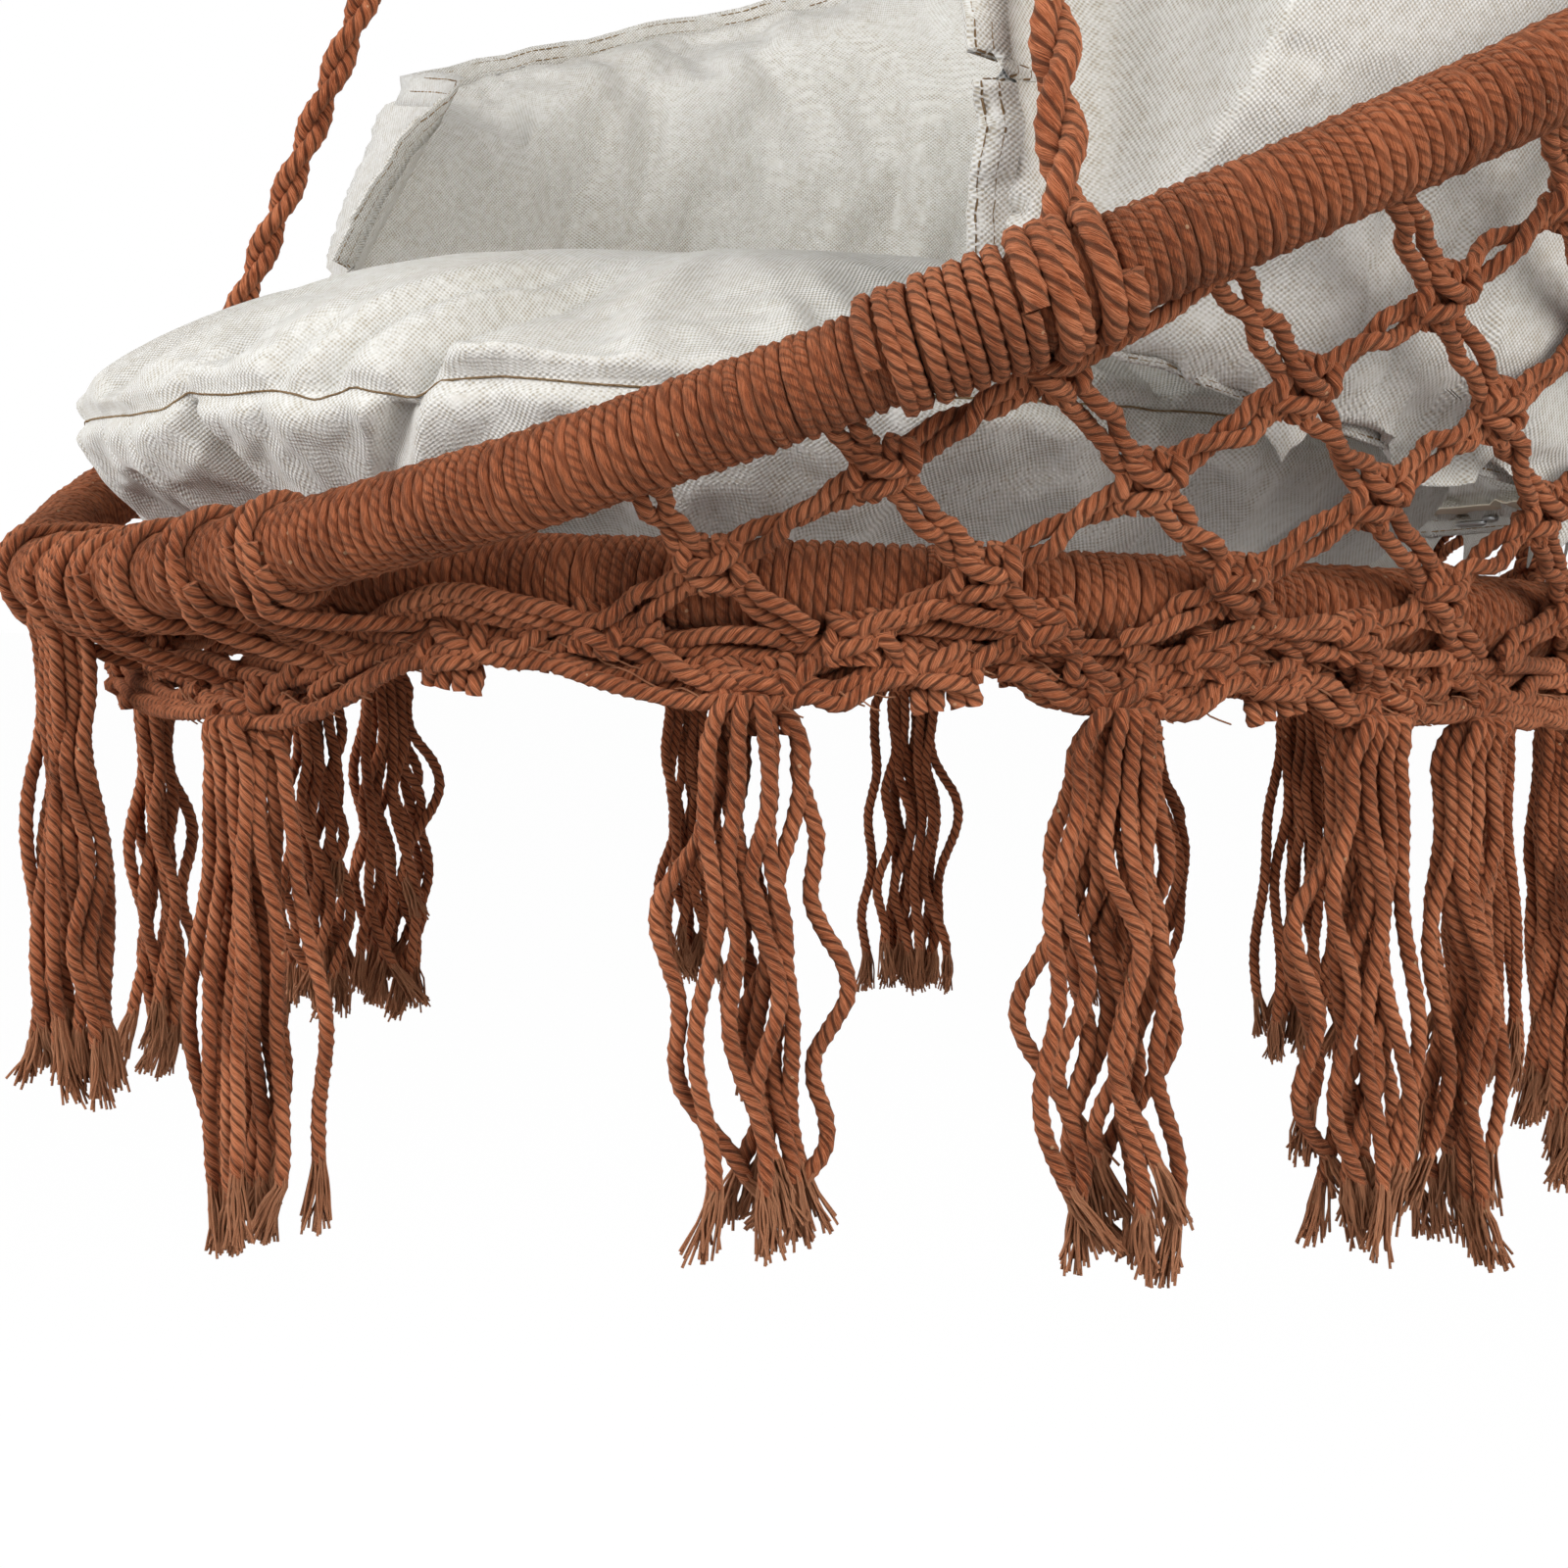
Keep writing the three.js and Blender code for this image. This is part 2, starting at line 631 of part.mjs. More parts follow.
// Seat net: square meshes on the slant, sagging a little, cut round inside the seat hoop.
function seatNetGeometry() {
  const corners = [];
  const faces = [];
  const reach = seatHoopRadius - wrapWidth / 2 - clearance;
  const lashingHalf = (lashingTurns * turnPitch) / 2 + seatNetKnot;
  const rimAt = (p) => {
    const a = Math.atan2(p.x, -p.y);
    const lashed = p.y < 0 && lashingPlaces.some((x) => Math.abs(p.x - x) < lashingHalf);
    const cord = lashed ? hoopTurnRadius + whipCord / 2 - wrapWidth / 2 : 0;
    return reach - seatHoopRadius * (1 - facetShare(seatSegments, a)) - cord;
  };
  const half = seatNetPitch / 2;
  // The net hangs as low as the seat cushion presses it.
  const slack = (x, y) => Math.max(0, 1 - (x * x + y * y) / (reach * reach));
  const cushionLow = seatCushionSeam - seatCushionBelly - clearance - seatNetThickness / 2;
  const sag = (x, y) => (cushionLow * slack(x, y)) / slack(0, seatCushionAhead);
  const corner = (x, y) => {
    const z = sag(x, y);
    const t = seatNetThickness / 2;
    return corners.push({ outer: vec(x, y, z + t), inner: vec(x, y, z - t) }) - 1;
  };
  const count = Math.ceil((2 * reach) / seatNetPitch);
  const knots = new Map();
  const inside = (x, y) => Math.hypot(x, y) < reach - seatNetKnot;
  for (let i = -count; i <= count; i++) {
    for (let j = -count; j <= count; j++) {
      if ((i + j) % 2) continue;
      const [x, y] = [i * half, j * half];
      if (!inside(x, y)) continue;
      const s = seatNetKnot / 2;
      const knot = { x, y, right: corner(x + s, y), top: corner(x, y + s) };
      knot.left = corner(x - s, y);
      knot.bottom = corner(x, y - s);
      faces.push([knot.right, knot.top, knot.left, knot.bottom]);
      knots.set(i + "," + j, knot);
    }
  }
  const names = ["right", "top", "left", "bottom"];
  for (const [key, knot] of knots) {
    const [i, j] = key.split(",").map(Number);
    [[1, 1], [-1, 1], [-1, -1], [1, -1]].forEach(([di, dj], quarter) => {
      const first = knot[names[quarter]];
      const second = knot[names[(quarter + 1) % 4]];
      const next = knots.get(i + di + "," + (j + dj));
      if (next && dj > 0) {
        const facing = next[names[(quarter + 2) % 4]];
        const other = next[names[(quarter + 3) % 4]];
        faces.push([first, other, facing, second]);
      }
      if (next) return;
      // An edge cord runs straight out to the hoop.
      const out = vec(di, dj, 0).normalize();
      const from = vec(knot.x, knot.y, 0);
      const inward = from.dot(out);
      const far = Math.sqrt(inward * inward + reach ** 2 - from.lengthSq()) - inward;
      const end = from.addScaledVector(out, far);
      const side = vec(-out.y, out.x, 0).multiplyScalar(seatNetKnot / 3);
      const onRim = (p) => p.multiplyScalar(rimAt(p) / p.length());
      const [p, q] = [onRim(end.clone().sub(side)), onRim(end.clone().add(side))];
      const [a, b] = [corner(p.x, p.y), corner(q.x, q.y)];
      faces.push([first, a, b, second]);
    });
  }
  return slab(corners, faces);
}

piece(seatFrame, "seat_net", seatNetGeometry(), cordStuff);

// Fringe band.
function hemDrop(a) {
  const off = Math.abs(Math.atan2(Math.sin(a), Math.cos(a)));
  return hemFrontDrop * THREE.MathUtils.smoothstep(rad(hemFrontDeg) - off, 0, rad(hemFrontDeg) / 2);
}

function hemRadius(z) {
  const space = (wrapWidth + hemThickness) / 2;
  const over = Math.sqrt(Math.max(0, space * space - z * z));
  return seatHoopRadius + Math.max(over, wrapWidth / 4);
}

function hemCorner(a, z) {
  const radius = hemRadius(z);
  const at = (r) => vec(r * Math.sin(a), -r * Math.cos(a), z);
  return { outer: at(radius + hemThickness / 2), inner: at(radius - hemThickness / 2) };
}

function hemGeometry() {
  const corners = [];
  const faces = [];
  const corner = (a, z) => corners.push(hemCorner(a, z)) - 1;
  const knotAt = (a, z) => {
    const [w, h] = [hemKnotWidth / 2 / seatHoopRadius, hemKnotHeight / 2];
    const knot = { right: corner(a + w, z), top: corner(a, z + h), left: corner(a - w, z) };
    knot.bottom = corner(a, z - h);
    faces.push([knot.right, knot.top, knot.left, knot.bottom]);
    return knot;
  };
  const count = hemStations.length;
  const low = hemStations.map(([deg]) => knotAt(rad(deg), -hemBottom - hemDrop(rad(deg))));
  const high = hemStations.map(([deg], i) => {
    const next = i + 1 < count ? hemStations[i + 1][0] : hemStations[0][0] + 360;
    const a = rad((deg + next) / 2);
    return knotAt(a, -hemTop - hemDrop(a));
  });
  for (let i = 0; i < count; i++) {
    const [from, over, to] = [low[i], high[i], low[(i + 1) % count]];
    faces.push([from.right, over.bottom, over.left, from.top]);
    faces.push([to.left, to.top, over.right, over.bottom]);
  }
  return slab(corners, faces);
}

piece(seatFrame, "hem_net", hemGeometry(), cordStuff);

// Tassels: a knot with strands that hang from it, a little unevenly.
function tasselGeometry(top, turn) {
  const [r, h] = [tasselKnotWidth / 2, tasselKnotHeight];
  const profileShares = [[0, 0], [0.7, 0], [1, -0.45], [0.75, -1], [0, -1]];
  const profile = profileShares.map(([x, y]) => new THREE.Vector2(x * r, y * h));
  const knot = new THREE.LatheGeometry(profile.reverse(), 6).rotateX(Math.PI / 2);
  let solid = solidOf(knot.translate(top.x, top.y, top.z));
  const topRadius = tasselCord;
  for (let i = 0; i < tasselStrands; i++) {
    const a = turn + (i / (tasselStrands - 1)) * 2 * Math.PI;
    const middle = i === tasselStrands - 1;
    const reach = middle ? 0 : 1;
    const lengthShare = 1 - 0.06 * ((i * 2) % 5) / 4;
    const start = h / 2;
    const place = (t) => {
      const out = reach * (topRadius + (tasselSpread - topRadius) * Math.sin((t * Math.PI) / 2));
      const down = start + t * (tasselLength * lengthShare - start);
      return vec(top.x + out * Math.cos(a), top.y + out * Math.sin(a), top.z - down);
    };
    solid = solid.add(solidOf(tubeAlong(place, 2, tasselCord, 3)));
  }
  return geometryOf(solid);
}

let tasselCount = 0;
const upright = seatFrame.matrixWorld.clone().invert();
for (const [deg, hasTassel] of hemStations) {
  if (!hasTassel) continue;
  tasselCount += 1;
  const a = rad(deg);
  const z = -hemBottom - hemDrop(a);
  const radius = hemRadius(z);
  const under = vec(radius * Math.sin(a), -radius * Math.cos(a), z - hemKnotHeight / 2 - clearance);
  const top = under.applyMatrix4(seatFrame.matrixWorld);
  const geometry = tasselGeometry(top, a).applyMatrix4(upright);
  piece(seatFrame, "tassel_" + String(tasselCount).padStart(2, "0"), geometry, cordStuff);
}

const frontTop = onBackHoop(Math.asin(frontTasselPlace / backHoopRadius));
frontTop.z -= frontTasselDrop + clearance;
const frontTassel = tasselGeometry(frontTop.applyMatrix4(seatFrame.matrixWorld), 0);
piece(seatFrame, "front_tassel", frontTassel.applyMatrix4(upright), cordStuff);

// A closed sheet of quads round a cushion. Each row of corners goes once round, and the two
// ends are closed by a pole. Some faces can be left out for a zip.
function cushionSheet(outerAt, innerAt, around, rows, isOpen) {
  const corners = [];
  const faces = [];
  const corner = (u, v) => corners.push({ outer: outerAt(u, v), inner: innerAt(u, v) }) - 1;
  const top = corner(0, 0);
  const rings = [];
  for (let j = 1; j < rows; j++) {
    const ring = [];
    for (let i = 0; i < around; i++) ring.push(corner(i / around, j / rows));
    rings.push(ring);
  }
  const bottom = corner(0, 1);
  for (let i = 0; i < around; i++) {
    const next = (i + 1) % around;
    faces.push([top, rings[0][i], rings[0][next]]);
    for (let j = 0; j + 1 < rings.length; j++) {
      if (isOpen(i, j)) continue;
      faces.push([rings[j][i], rings[j + 1][i], rings[j + 1][next], rings[j][next]]);
    }
    faces.push([rings[rings.length - 1][i], bottom, rings[rings.length - 1][next]]);
  }
  return { corners, faces };
}

// A cover is a sheet with the canvas's thickness, and its filling is a solid just inside it.
// The zip is a strip of the same sheet that fills the faces left out of the cover.
function cushion(name, surface, [zipFrom, zipTo]) {
  const normalAt = (u, v) => {
    const d = 1e-3;
    const [low, high] = [Math.max(v - d, 0), Math.min(v + d, 1)];
    const edge = v < d || v > 1 - d;
    if (edge) {
      const ringV = v < d ? d : 1 - d;
      const [a, b, c] = [surface(0, ringV), surface(1 / 3, ringV), surface(2 / 3, ringV)];
      return b.sub(a).cross(c.sub(a)).normalize().multiplyScalar(v < d ? 1 : -1);
    }
    const along = surface(u + d, v).sub(surface(u - d, v));
    const across = surface(u, high).sub(surface(u, low));
    return across.cross(along).normalize();
  };
  const inset = (depth) => (u, v) => surface(u, v).addScaledVector(normalAt(u, v), -depth);
  const isOpen = (i, j) => i >= zipFrom && i < zipTo && j === zipRow;
  const cover = cushionSheet(inset(0), inset(canvas), cushionAround, cushionAcross, isOpen);
  piece(seatFrame, name + "_cover", slab(cover.corners, cover.faces), canvasStuff);
  const zip = { corners: [], faces: [] };
  for (let i = zipFrom; i <= zipTo; i++) {
    const ends = [zipRow + 1, zipRow + 2].map((j) => {
      const at = (skin, k) => skin(k / cushionAround, j / cushionAcross);
      const near = i === zipFrom ? i + 1 : i - 1;
      const far = i === zipFrom || i === zipTo;
      const shift = far ? clearance / at(inset(0), i).distanceTo(at(inset(0), near)) : 0;
      const pull = (skin) => at(skin, i).lerp(at(skin, near), shift);
      return { outer: pull(inset(0)), inner: pull(inset(canvas)) };
    });
    const share = clearance / ends[0].outer.distanceTo(ends[1].outer);
    for (const [from, to] of [[0, 1], [1, 0]]) {
      const outer = ends[from].outer.clone().lerp(ends[to].outer, share);
      zip.corners.push({ outer, inner: ends[from].inner.clone().lerp(ends[to].inner, share) });
    }
    const k = zip.corners.length;
    if (i > zipFrom) zip.faces.push([k - 4, k - 3, k - 1, k - 2]);
  }
  piece(seatFrame, name + "_zip", slab(zip.corners, zip.faces), fibreStuff);
  const under = inset(canvas + clearance);
  const inner = (u, v) => {
    if (v !== 1 / 2) return under(u, v);
    const inside = under(u, v - 1 / cushionAcross).lerp(under(u, v + 1 / cushionAcross), 1 / 2);
    return under(u, v).lerp(inside, seamPullShare);
  };
  const fill = cushionSheet(inner, inner, cushionAround, cushionAcross, () => false);
  const points = [];
  for (const face of fill.faces) {
    for (let i = 1; i + 1 < face.length; i++) {
      for (const k of [0, i, i + 1]) points.push(...fill.corners[face[k]].outer.toArray());
    }
  }
  const attribute = new THREE.Float32BufferAttribute(points, 3);
  const filling = new THREE.BufferGeometry().setAttribute("position", attribute);
  piece(seatFrame, name + "_filling", filling, fibreStuff);
}

// Seat cushion: round, crowned, with its seam round the widest line and small puckers there.
function onSeatCushion(u, v) {
  const a = u * 2 * Math.PI;
  const level = Math.cos(v * Math.PI);
  const rim = Math.sin(v * Math.PI) ** 0.8;
  const pucker = seatCushionPucker * Math.sin(a * seatCushionPuckers) * rim ** 4;
  const x = (seatCushionWidth / 2 - pucker) * rim * Math.sin(a);
  const y = -(seatCushionDepth / 2 - pucker) * rim * Math.cos(a) - seatCushionAhead;
  const rise = level > 0 ? seatCushionCrown : seatCushionBelly;
  return vec(x, y, seatCushionSeam + rise * Math.sign(level) * Math.abs(level) ** 0.9);
}

cushion("seat_cushion", onSeatCushion, seatZipColumns);

// Back cushion: a long crowned pad bent round inside the net, thin at its edges. u goes round
// its seam, and v from the middle of its outer face over the seam to the middle of its inner face.
const backHoopTop = onBackHoop(Math.PI);
const backCushionBottomRadius = seatHoopRadius + backCushionBottomOut;
const backCushionTopRadius = backHoopTop.y - backCushionTopIn;
const backCushionRise = backHoopTop.z + backCushionOver - backCushionEndTop;

function onBackCushion(u, v) {
  const turn = u * 2 * Math.PI;
  const edge = Math.sin(v * Math.PI);
  const squareShare = (value) => Math.sign(value) * Math.abs(value) ** 0.62;
  const across = squareShare(Math.cos(turn)) * edge ** 0.7;
  const upward = squareShare(Math.sin(turn)) * edge ** 0.7;
  const first = rad(backCushionFirstDeg);
  const a = Math.PI + across * (Math.PI - first);
  const back = (1 - Math.cos(a)) / 2;
  const low = backCushionBottom;
  const high = backCushionEndTop + backCushionRise * back;
  const level = (1 + upward) / 2;
  const z = low + (high - low) * level;
  const seamRadius = THREE.MathUtils.lerp(backCushionBottomRadius, backCushionTopRadius, level);
  const depth = Math.cos(v * Math.PI);
  const offset = depth > 0 ? depth * backCushionBulge : depth * backCushionThickness;
  const radius = seamRadius + offset;
  return vec(radius * Math.sin(a), -radius * Math.cos(a), z);
}

cushion("back_cushion", onBackCushion, backZipColumns);

export default chair;
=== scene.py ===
import bpy, random
from math import asin, atan2, ceil, cos, exp, floor, hypot, pi, radians, sin, sqrt, tanh, tau
from mathutils import Matrix, Vector, kdtree


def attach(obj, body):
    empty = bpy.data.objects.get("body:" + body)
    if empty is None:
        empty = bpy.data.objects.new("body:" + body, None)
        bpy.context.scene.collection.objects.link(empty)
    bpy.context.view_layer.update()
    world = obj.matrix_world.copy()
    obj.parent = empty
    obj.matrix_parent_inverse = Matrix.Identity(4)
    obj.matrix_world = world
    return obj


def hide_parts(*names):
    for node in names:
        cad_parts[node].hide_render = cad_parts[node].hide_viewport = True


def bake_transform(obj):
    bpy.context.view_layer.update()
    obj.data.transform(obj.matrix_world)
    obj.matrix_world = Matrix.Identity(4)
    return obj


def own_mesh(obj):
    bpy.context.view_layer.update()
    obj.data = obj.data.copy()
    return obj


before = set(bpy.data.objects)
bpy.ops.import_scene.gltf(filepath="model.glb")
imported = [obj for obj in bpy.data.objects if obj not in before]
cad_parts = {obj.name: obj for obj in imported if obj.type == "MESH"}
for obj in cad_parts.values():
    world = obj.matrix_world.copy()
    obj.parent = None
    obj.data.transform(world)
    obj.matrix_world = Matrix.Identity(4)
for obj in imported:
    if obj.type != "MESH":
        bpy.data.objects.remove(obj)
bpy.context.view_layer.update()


# ---- Viewpoint, light and floor ----
# Seen from the sitter's left, just above the seat. Three large soft lamps light the chair, and
# a white floor lies half a metre under the tassels, where a hanging chair has its floor.
bpy.context.scene.view_settings.view_transform = "Standard"


def linear(colour):
    """An sRGB hex colour as Blender's linear RGBA."""
    parts = [int(colour[i:i + 2], 16) / 255 for i in (1, 3, 5)]
    return [p / 12.92 if p <= 0.04045 else ((p + 0.055) / 1.055) ** 2.4 for p in parts] + [1]


def add(tree, kind, inputs=(), **settings):
    """One node with its settings. inputs gives a value or a node's output for each input used. A
    kind without Node in it is a shader's."""
    node = tree.nodes.new(kind if "Node" in kind else "ShaderNode" + kind)
    for name, value in settings.items():
        setattr(node, name, value)
    for key, value in dict(inputs).items():
        if isinstance(value, bpy.types.Node):
            value = next(s for s in value.outputs if s.enabled)
        if isinstance(value, bpy.types.NodeSocket):
            tree.links.new(value, node.inputs[key])
        else:
            node.inputs[key].default_value = value
    return node


def calc(tree, operation, *values):
    """A maths node on values or nodes."""
    return add(tree, "Math", enumerate(values), operation=operation)


def material(name):
    """A new material and its empty tree."""
    made = bpy.data.materials.new(name)
    made.use_nodes = True
    made.node_tree.nodes.clear()
    return made, made.node_tree


def ramp(tree, value, *stops):
    """A colour ramp through stops, each a place and a colour: first its two ends."""
    made = add(tree, "ValToRGB", {0: value})
    elements = made.color_ramp.elements
    for element, (place, colour) in zip((elements[0], elements[1]), stops):
        element.position, element.color = place, linear(colour)
    for place, colour in stops[2:]:
        elements.new(place).color = linear(colour)
    return made


def show(name, data):
    """A mesh, curve, lamp or camera, put in the scene as an object."""
    obj = bpy.data.objects.new(name, data)
    bpy.context.collection.objects.link(obj)
    return obj


def form(name, points, faces, finish=None, smooth=True):
    """A mesh piece made of points and faces."""
    mesh = bpy.data.meshes.new(name)
    mesh.from_pydata(points, [], faces)
    if smooth:
        mesh.shade_smooth()
    if finish:
        mesh.materials.append(finish)
    return show(name, mesh)


def unseen_light(tree):
    """1 for the rays that see a background white, which are the camera's, gloss and glass."""
    path = add(tree, "LightPath")
    either = calc(tree, "MAXIMUM", path.outputs["Is Camera Ray"], path.outputs["Is Glossy Ray"])
    return calc(tree, "MAXIMUM", either, path.outputs["Is Transmission Ray"])


def lamp(name, place, size, watts, tint):
    """A soft round lamp, aimed at the seat."""
    light = bpy.data.lights.new(name, "AREA")
    light.shape, light.size, light.energy, light.color = "DISK", size, watts, linear(tint)[:3]
    turned = (Vector(place) - Vector((0, 0, -0.95))).to_track_quat("Z", "Y")
    show(name, light).matrix_world = Matrix.Translation(place) @ turned.to_matrix().to_4x4()


camera = show("camera", bpy.data.cameras.new("camera"))
camera.data.lens = 55.29
camera.data.sensor_width = 36
camera.data.clip_start = 0.01
view_right, view_up, view_on = (0.5404, 0.8413, 0), (-0.068, 0.0437, 0.9966), (-0.8386, 0.5386, -0.0808)
axes = [Vector(view_right), Vector(view_up), -Vector(view_on)]
camera.matrix_world = Matrix.Translation((0.8361, -0.6294, -0.978)) @ Matrix(axes).transposed().to_4x4()
bpy.context.scene.camera = camera

lamp("key_lamp", (0.9, -2.1, 0.4), 1.9, 22, "#fffefb")
lamp("left_lamp", (-0.7, -2.3, -0.4), 1.8, 39, "#fcfdff")
lamp("right_lamp", (2.4, 0.1, -0.2), 1.8, 44, "#fffdfa")

world = bpy.data.worlds.new("studio")
bpy.context.scene.world = world
world.use_nodes = True
sky = world.node_tree
sky.nodes.clear()
# The studio's walls are lit, its ceiling is not.
height = add(sky, "SeparateXYZ", {0: add(sky, "TexCoord").outputs["Generated"]}).outputs["Z"]
walls = add(sky, "MapRange", {"Value": height, "From Min": 0.1, "From Max": 0.9, "To Min": 0.75, "To Max": 0.1})
strength = add(sky, "Mix", {0: unseen_light(sky), 2: walls, 3: 1.0})
add(sky, "OutputWorld", {"Surface": add(sky, "Background", {"Color": (1, 1, 1, 1), "Strength": strength})})

white_floor, ground = material("white_studio_floor")
plain = add(ground, "BsdfDiffuse", {"Color": (0.5, 0.5, 0.5, 1)})
glow = add(ground, "Emission", {"Color": (1, 1, 1, 1), "Strength": 1.08})
share = calc(ground, "MULTIPLY", unseen_light(ground), 0.9)
add(ground, "OutputMaterial", {"Surface": add(ground, "MixShader", {0: share, 1: plain, 2: glow})})
wide, floor_z = 40, -1.72
corners = [(x, y, floor_z) for x, y in ((-wide, -wide), (wide, -wide), (wide, wide), (-wide, wide))]
form("floor", corners, [(0, 1, 2, 3)], white_floor, smooth=False)


# ---- Suspension ropes ----
# One rope a side, of two cotton strands twisted together. Each goes from an eye on the back hoop
# up over the ring's wire and down again to an eye at the rear, and is whipped under the ring.
seat_middle, seat_tilt = Vector((0, -0.058, -0.985)), radians(2.45)
seat_to_row = Matrix.Translation(seat_middle) @ Matrix.Rotation(-seat_tilt, 4, "X")
back_radius, back_tilt = 0.386, radians(27.96)
back_segments = 32
seat_radius, seat_segments = 0.286, 28
back_front, back_below = -(seat_radius + 0.035), 0.0053
front_rope_degs, rear_rope_deg = {1: 58.5, -1: 53}, 131
rope_width, strand_width, rope_lay, strand_lay = 0.0148, 0.0078, 0.062, 0.019
ring_bore, ring_wire = 0.052, 0.009
loop_spacing, loop_radius, loop_leg, leg_straight = 0.015, 0.013, 0.064, 0.042
wire_low = -ring_bore - ring_wire / 2


def on_seat_hoop(a):
    return Vector((seat_radius * sin(a), -seat_radius * cos(a), 0))


def on_back_hoop(a):
    """The back hoop's middle line in the seat's frame, by the angle from the front to the left."""
    back = 1 - cos(a)
    y = back_front + back_radius * cos(back_tilt) * back
    return Vector((back_radius * sin(a), y, back_radius * sin(back_tilt) * back - back_below))


def facet_share(segments, a):
    """How far a faceted hoop's flat stretch draws in at an angle."""
    step = tau / segments
    past = a - step * floor(a / step)
    return cos(step / 2) / cos(past - step / 2)


back_middle = on_back_hoop(0).lerp(on_back_hoop(pi), 0.5)
back_up = Vector((0, -sin(back_tilt), cos(back_tilt)))


def on_back_bar(a):
    return back_middle.lerp(on_back_hoop(a), facet_share(back_segments, a))


def on_seat_bar(a):
    return on_seat_hoop(a) * facet_share(seat_segments, a)


def smooth_path(points, step):
    """A Catmull-Rom curve through the points, cut into even steps."""
    ends = [points[0] * 2 - points[1], *points, points[-1] * 2 - points[-2]]
    fine = []
    for p0, p1, p2, p3 in zip(ends, ends[1:], ends[2:], ends[3:]):
        count = max(2, ceil((p2 - p1).length / step * 2))
        for i in range(count):
            t = i / count
            fine.append(0.5 * (2 * p1 + (p2 - p0) * t + (2 * p0 - 5 * p1 + 4 * p2 - p3) * t ** 2
                    + (3 * p1 - p0 - 3 * p2 + p3) * t ** 3))
    fine.append(points[-1])
    return fine


def twisted_pair(line, apart, lay, start):
    """Two lines wound round a line, half a turn from each other."""
    lines, way, gone = ([], []), Vector((1, 0, 0)), 0
    for i, p in enumerate(line):
        along = (line[min(i + 1, len(line) - 1)] - line[max(i - 1, 0)]).normalized()
        way = (way - along * way.dot(along)).normalized()
        across = along.cross(way)
        gone += (p - line[i - 1]).length if i else 0
        for k in (0, 1):
            turn = start + tau * gone / lay + pi * k
            lines[k].append(p + (way * cos(turn) + across * sin(turn)) * apart / 2)
    return lines


# The tree that lays a cord of three plies along each line: the section is a trefoil, which turns
# once round in each lay. It keeps where a point is round and along the cord, for the finish.
laying = bpy.data.node_groups.new("laid_cord", "GeometryNodeTree")
for label, kind, way in (
    ("Geometry", "NodeSocketGeometry", "INPUT"), ("Width", "NodeSocketFloat", "INPUT"),
    ("Lay", "NodeSocketFloat", "INPUT"),
    ("Step", "NodeSocketFloat", "INPUT"), ("Groove", "NodeSocketFloat", "INPUT"), ("Sides", "NodeSocketInt", "INPUT"),
    ("Finish", "NodeSocketMaterial", "INPUT"), ("Geometry", "NodeSocketGeometry", "OUTPUT"),
):
    laying.interface.new_socket(label, in_out=way, socket_type=kind)
given = add(laying, "NodeGroupInput").outputs
even = add(laying, "GeometryNodeResampleCurve", {"Curve": given["Geometry"], "Length": given["Step"]}, mode="LENGTH")
gone = add(laying, "GeometryNodeSplineParameter").outputs["Length"]
marked = add(laying, "GeometryNodeStoreNamedAttribute", {"Geometry": even, "Name": "along", "Value": gone},
    data_type="FLOAT", domain="POINT")
which = add(laying, "GeometryNodeCurveOfPoint").outputs["Curve Index"]
begin = next(s for s in add(laying, "FunctionNodeRandomValue", {"ID": which, "Seed": 7}, data_type="FLOAT").outputs
    if s.enabled)
turns = calc(laying, "DIVIDE", gone, given["Lay"])
phase = calc(laying, "ADD", turns, begin)
turned = calc(laying, "MULTIPLY", phase, -tau)
tilted = add(laying, "GeometryNodeSetCurveTilt", {"Curve": marked, "Tilt": turned})
half = calc(laying, "MULTIPLY", given["Width"], 0.5)
ring_line = add(laying, "GeometryNodeCurvePrimitiveCircle", {"Resolution": given["Sides"], "Radius": 1})
place = add(laying, "GeometryNodeInputPosition")
section_marked = add(laying, "GeometryNodeStoreNamedAttribute",
    {"Geometry": ring_line, "Name": "around", "Value": place}, data_type="FLOAT_VECTOR", domain="POINT")
parts = add(laying, "SeparateXYZ", {0: place})
angle = calc(laying, "ARCTAN2", parts.outputs["Y"], parts.outputs["X"])
three = calc(laying, "COSINE", calc(laying, "MULTIPLY", angle, 3.0))
swell = calc(laying, "MULTIPLY_ADD", three, given["Groove"], 1.0)
scaled = calc(laying, "MULTIPLY", swell, half)
shaped = add(laying, "VectorMath", {0: place, "Scale": scaled}, operation="SCALE")
section = add(laying, "GeometryNodeSetPosition", {"Geometry": section_marked, "Position": shaped})
swept = add(laying, "GeometryNodeCurveToMesh", {"Curve": tilted, "Profile Curve": section, "Fill Caps": True,
        "Scale": add(laying, "GeometryNodeInputRadius")})
soft = add(laying, "GeometryNodeSetShadeSmooth", {"Geometry": swept})
joined = add(laying, "GeometryNodeRealizeInstances", {"Geometry": soft})
add(laying, "NodeGroupOutput", {"Geometry": add(laying, "GeometryNodeSetMaterial",
        {"Geometry": joined, "Material": given["Finish"]})})


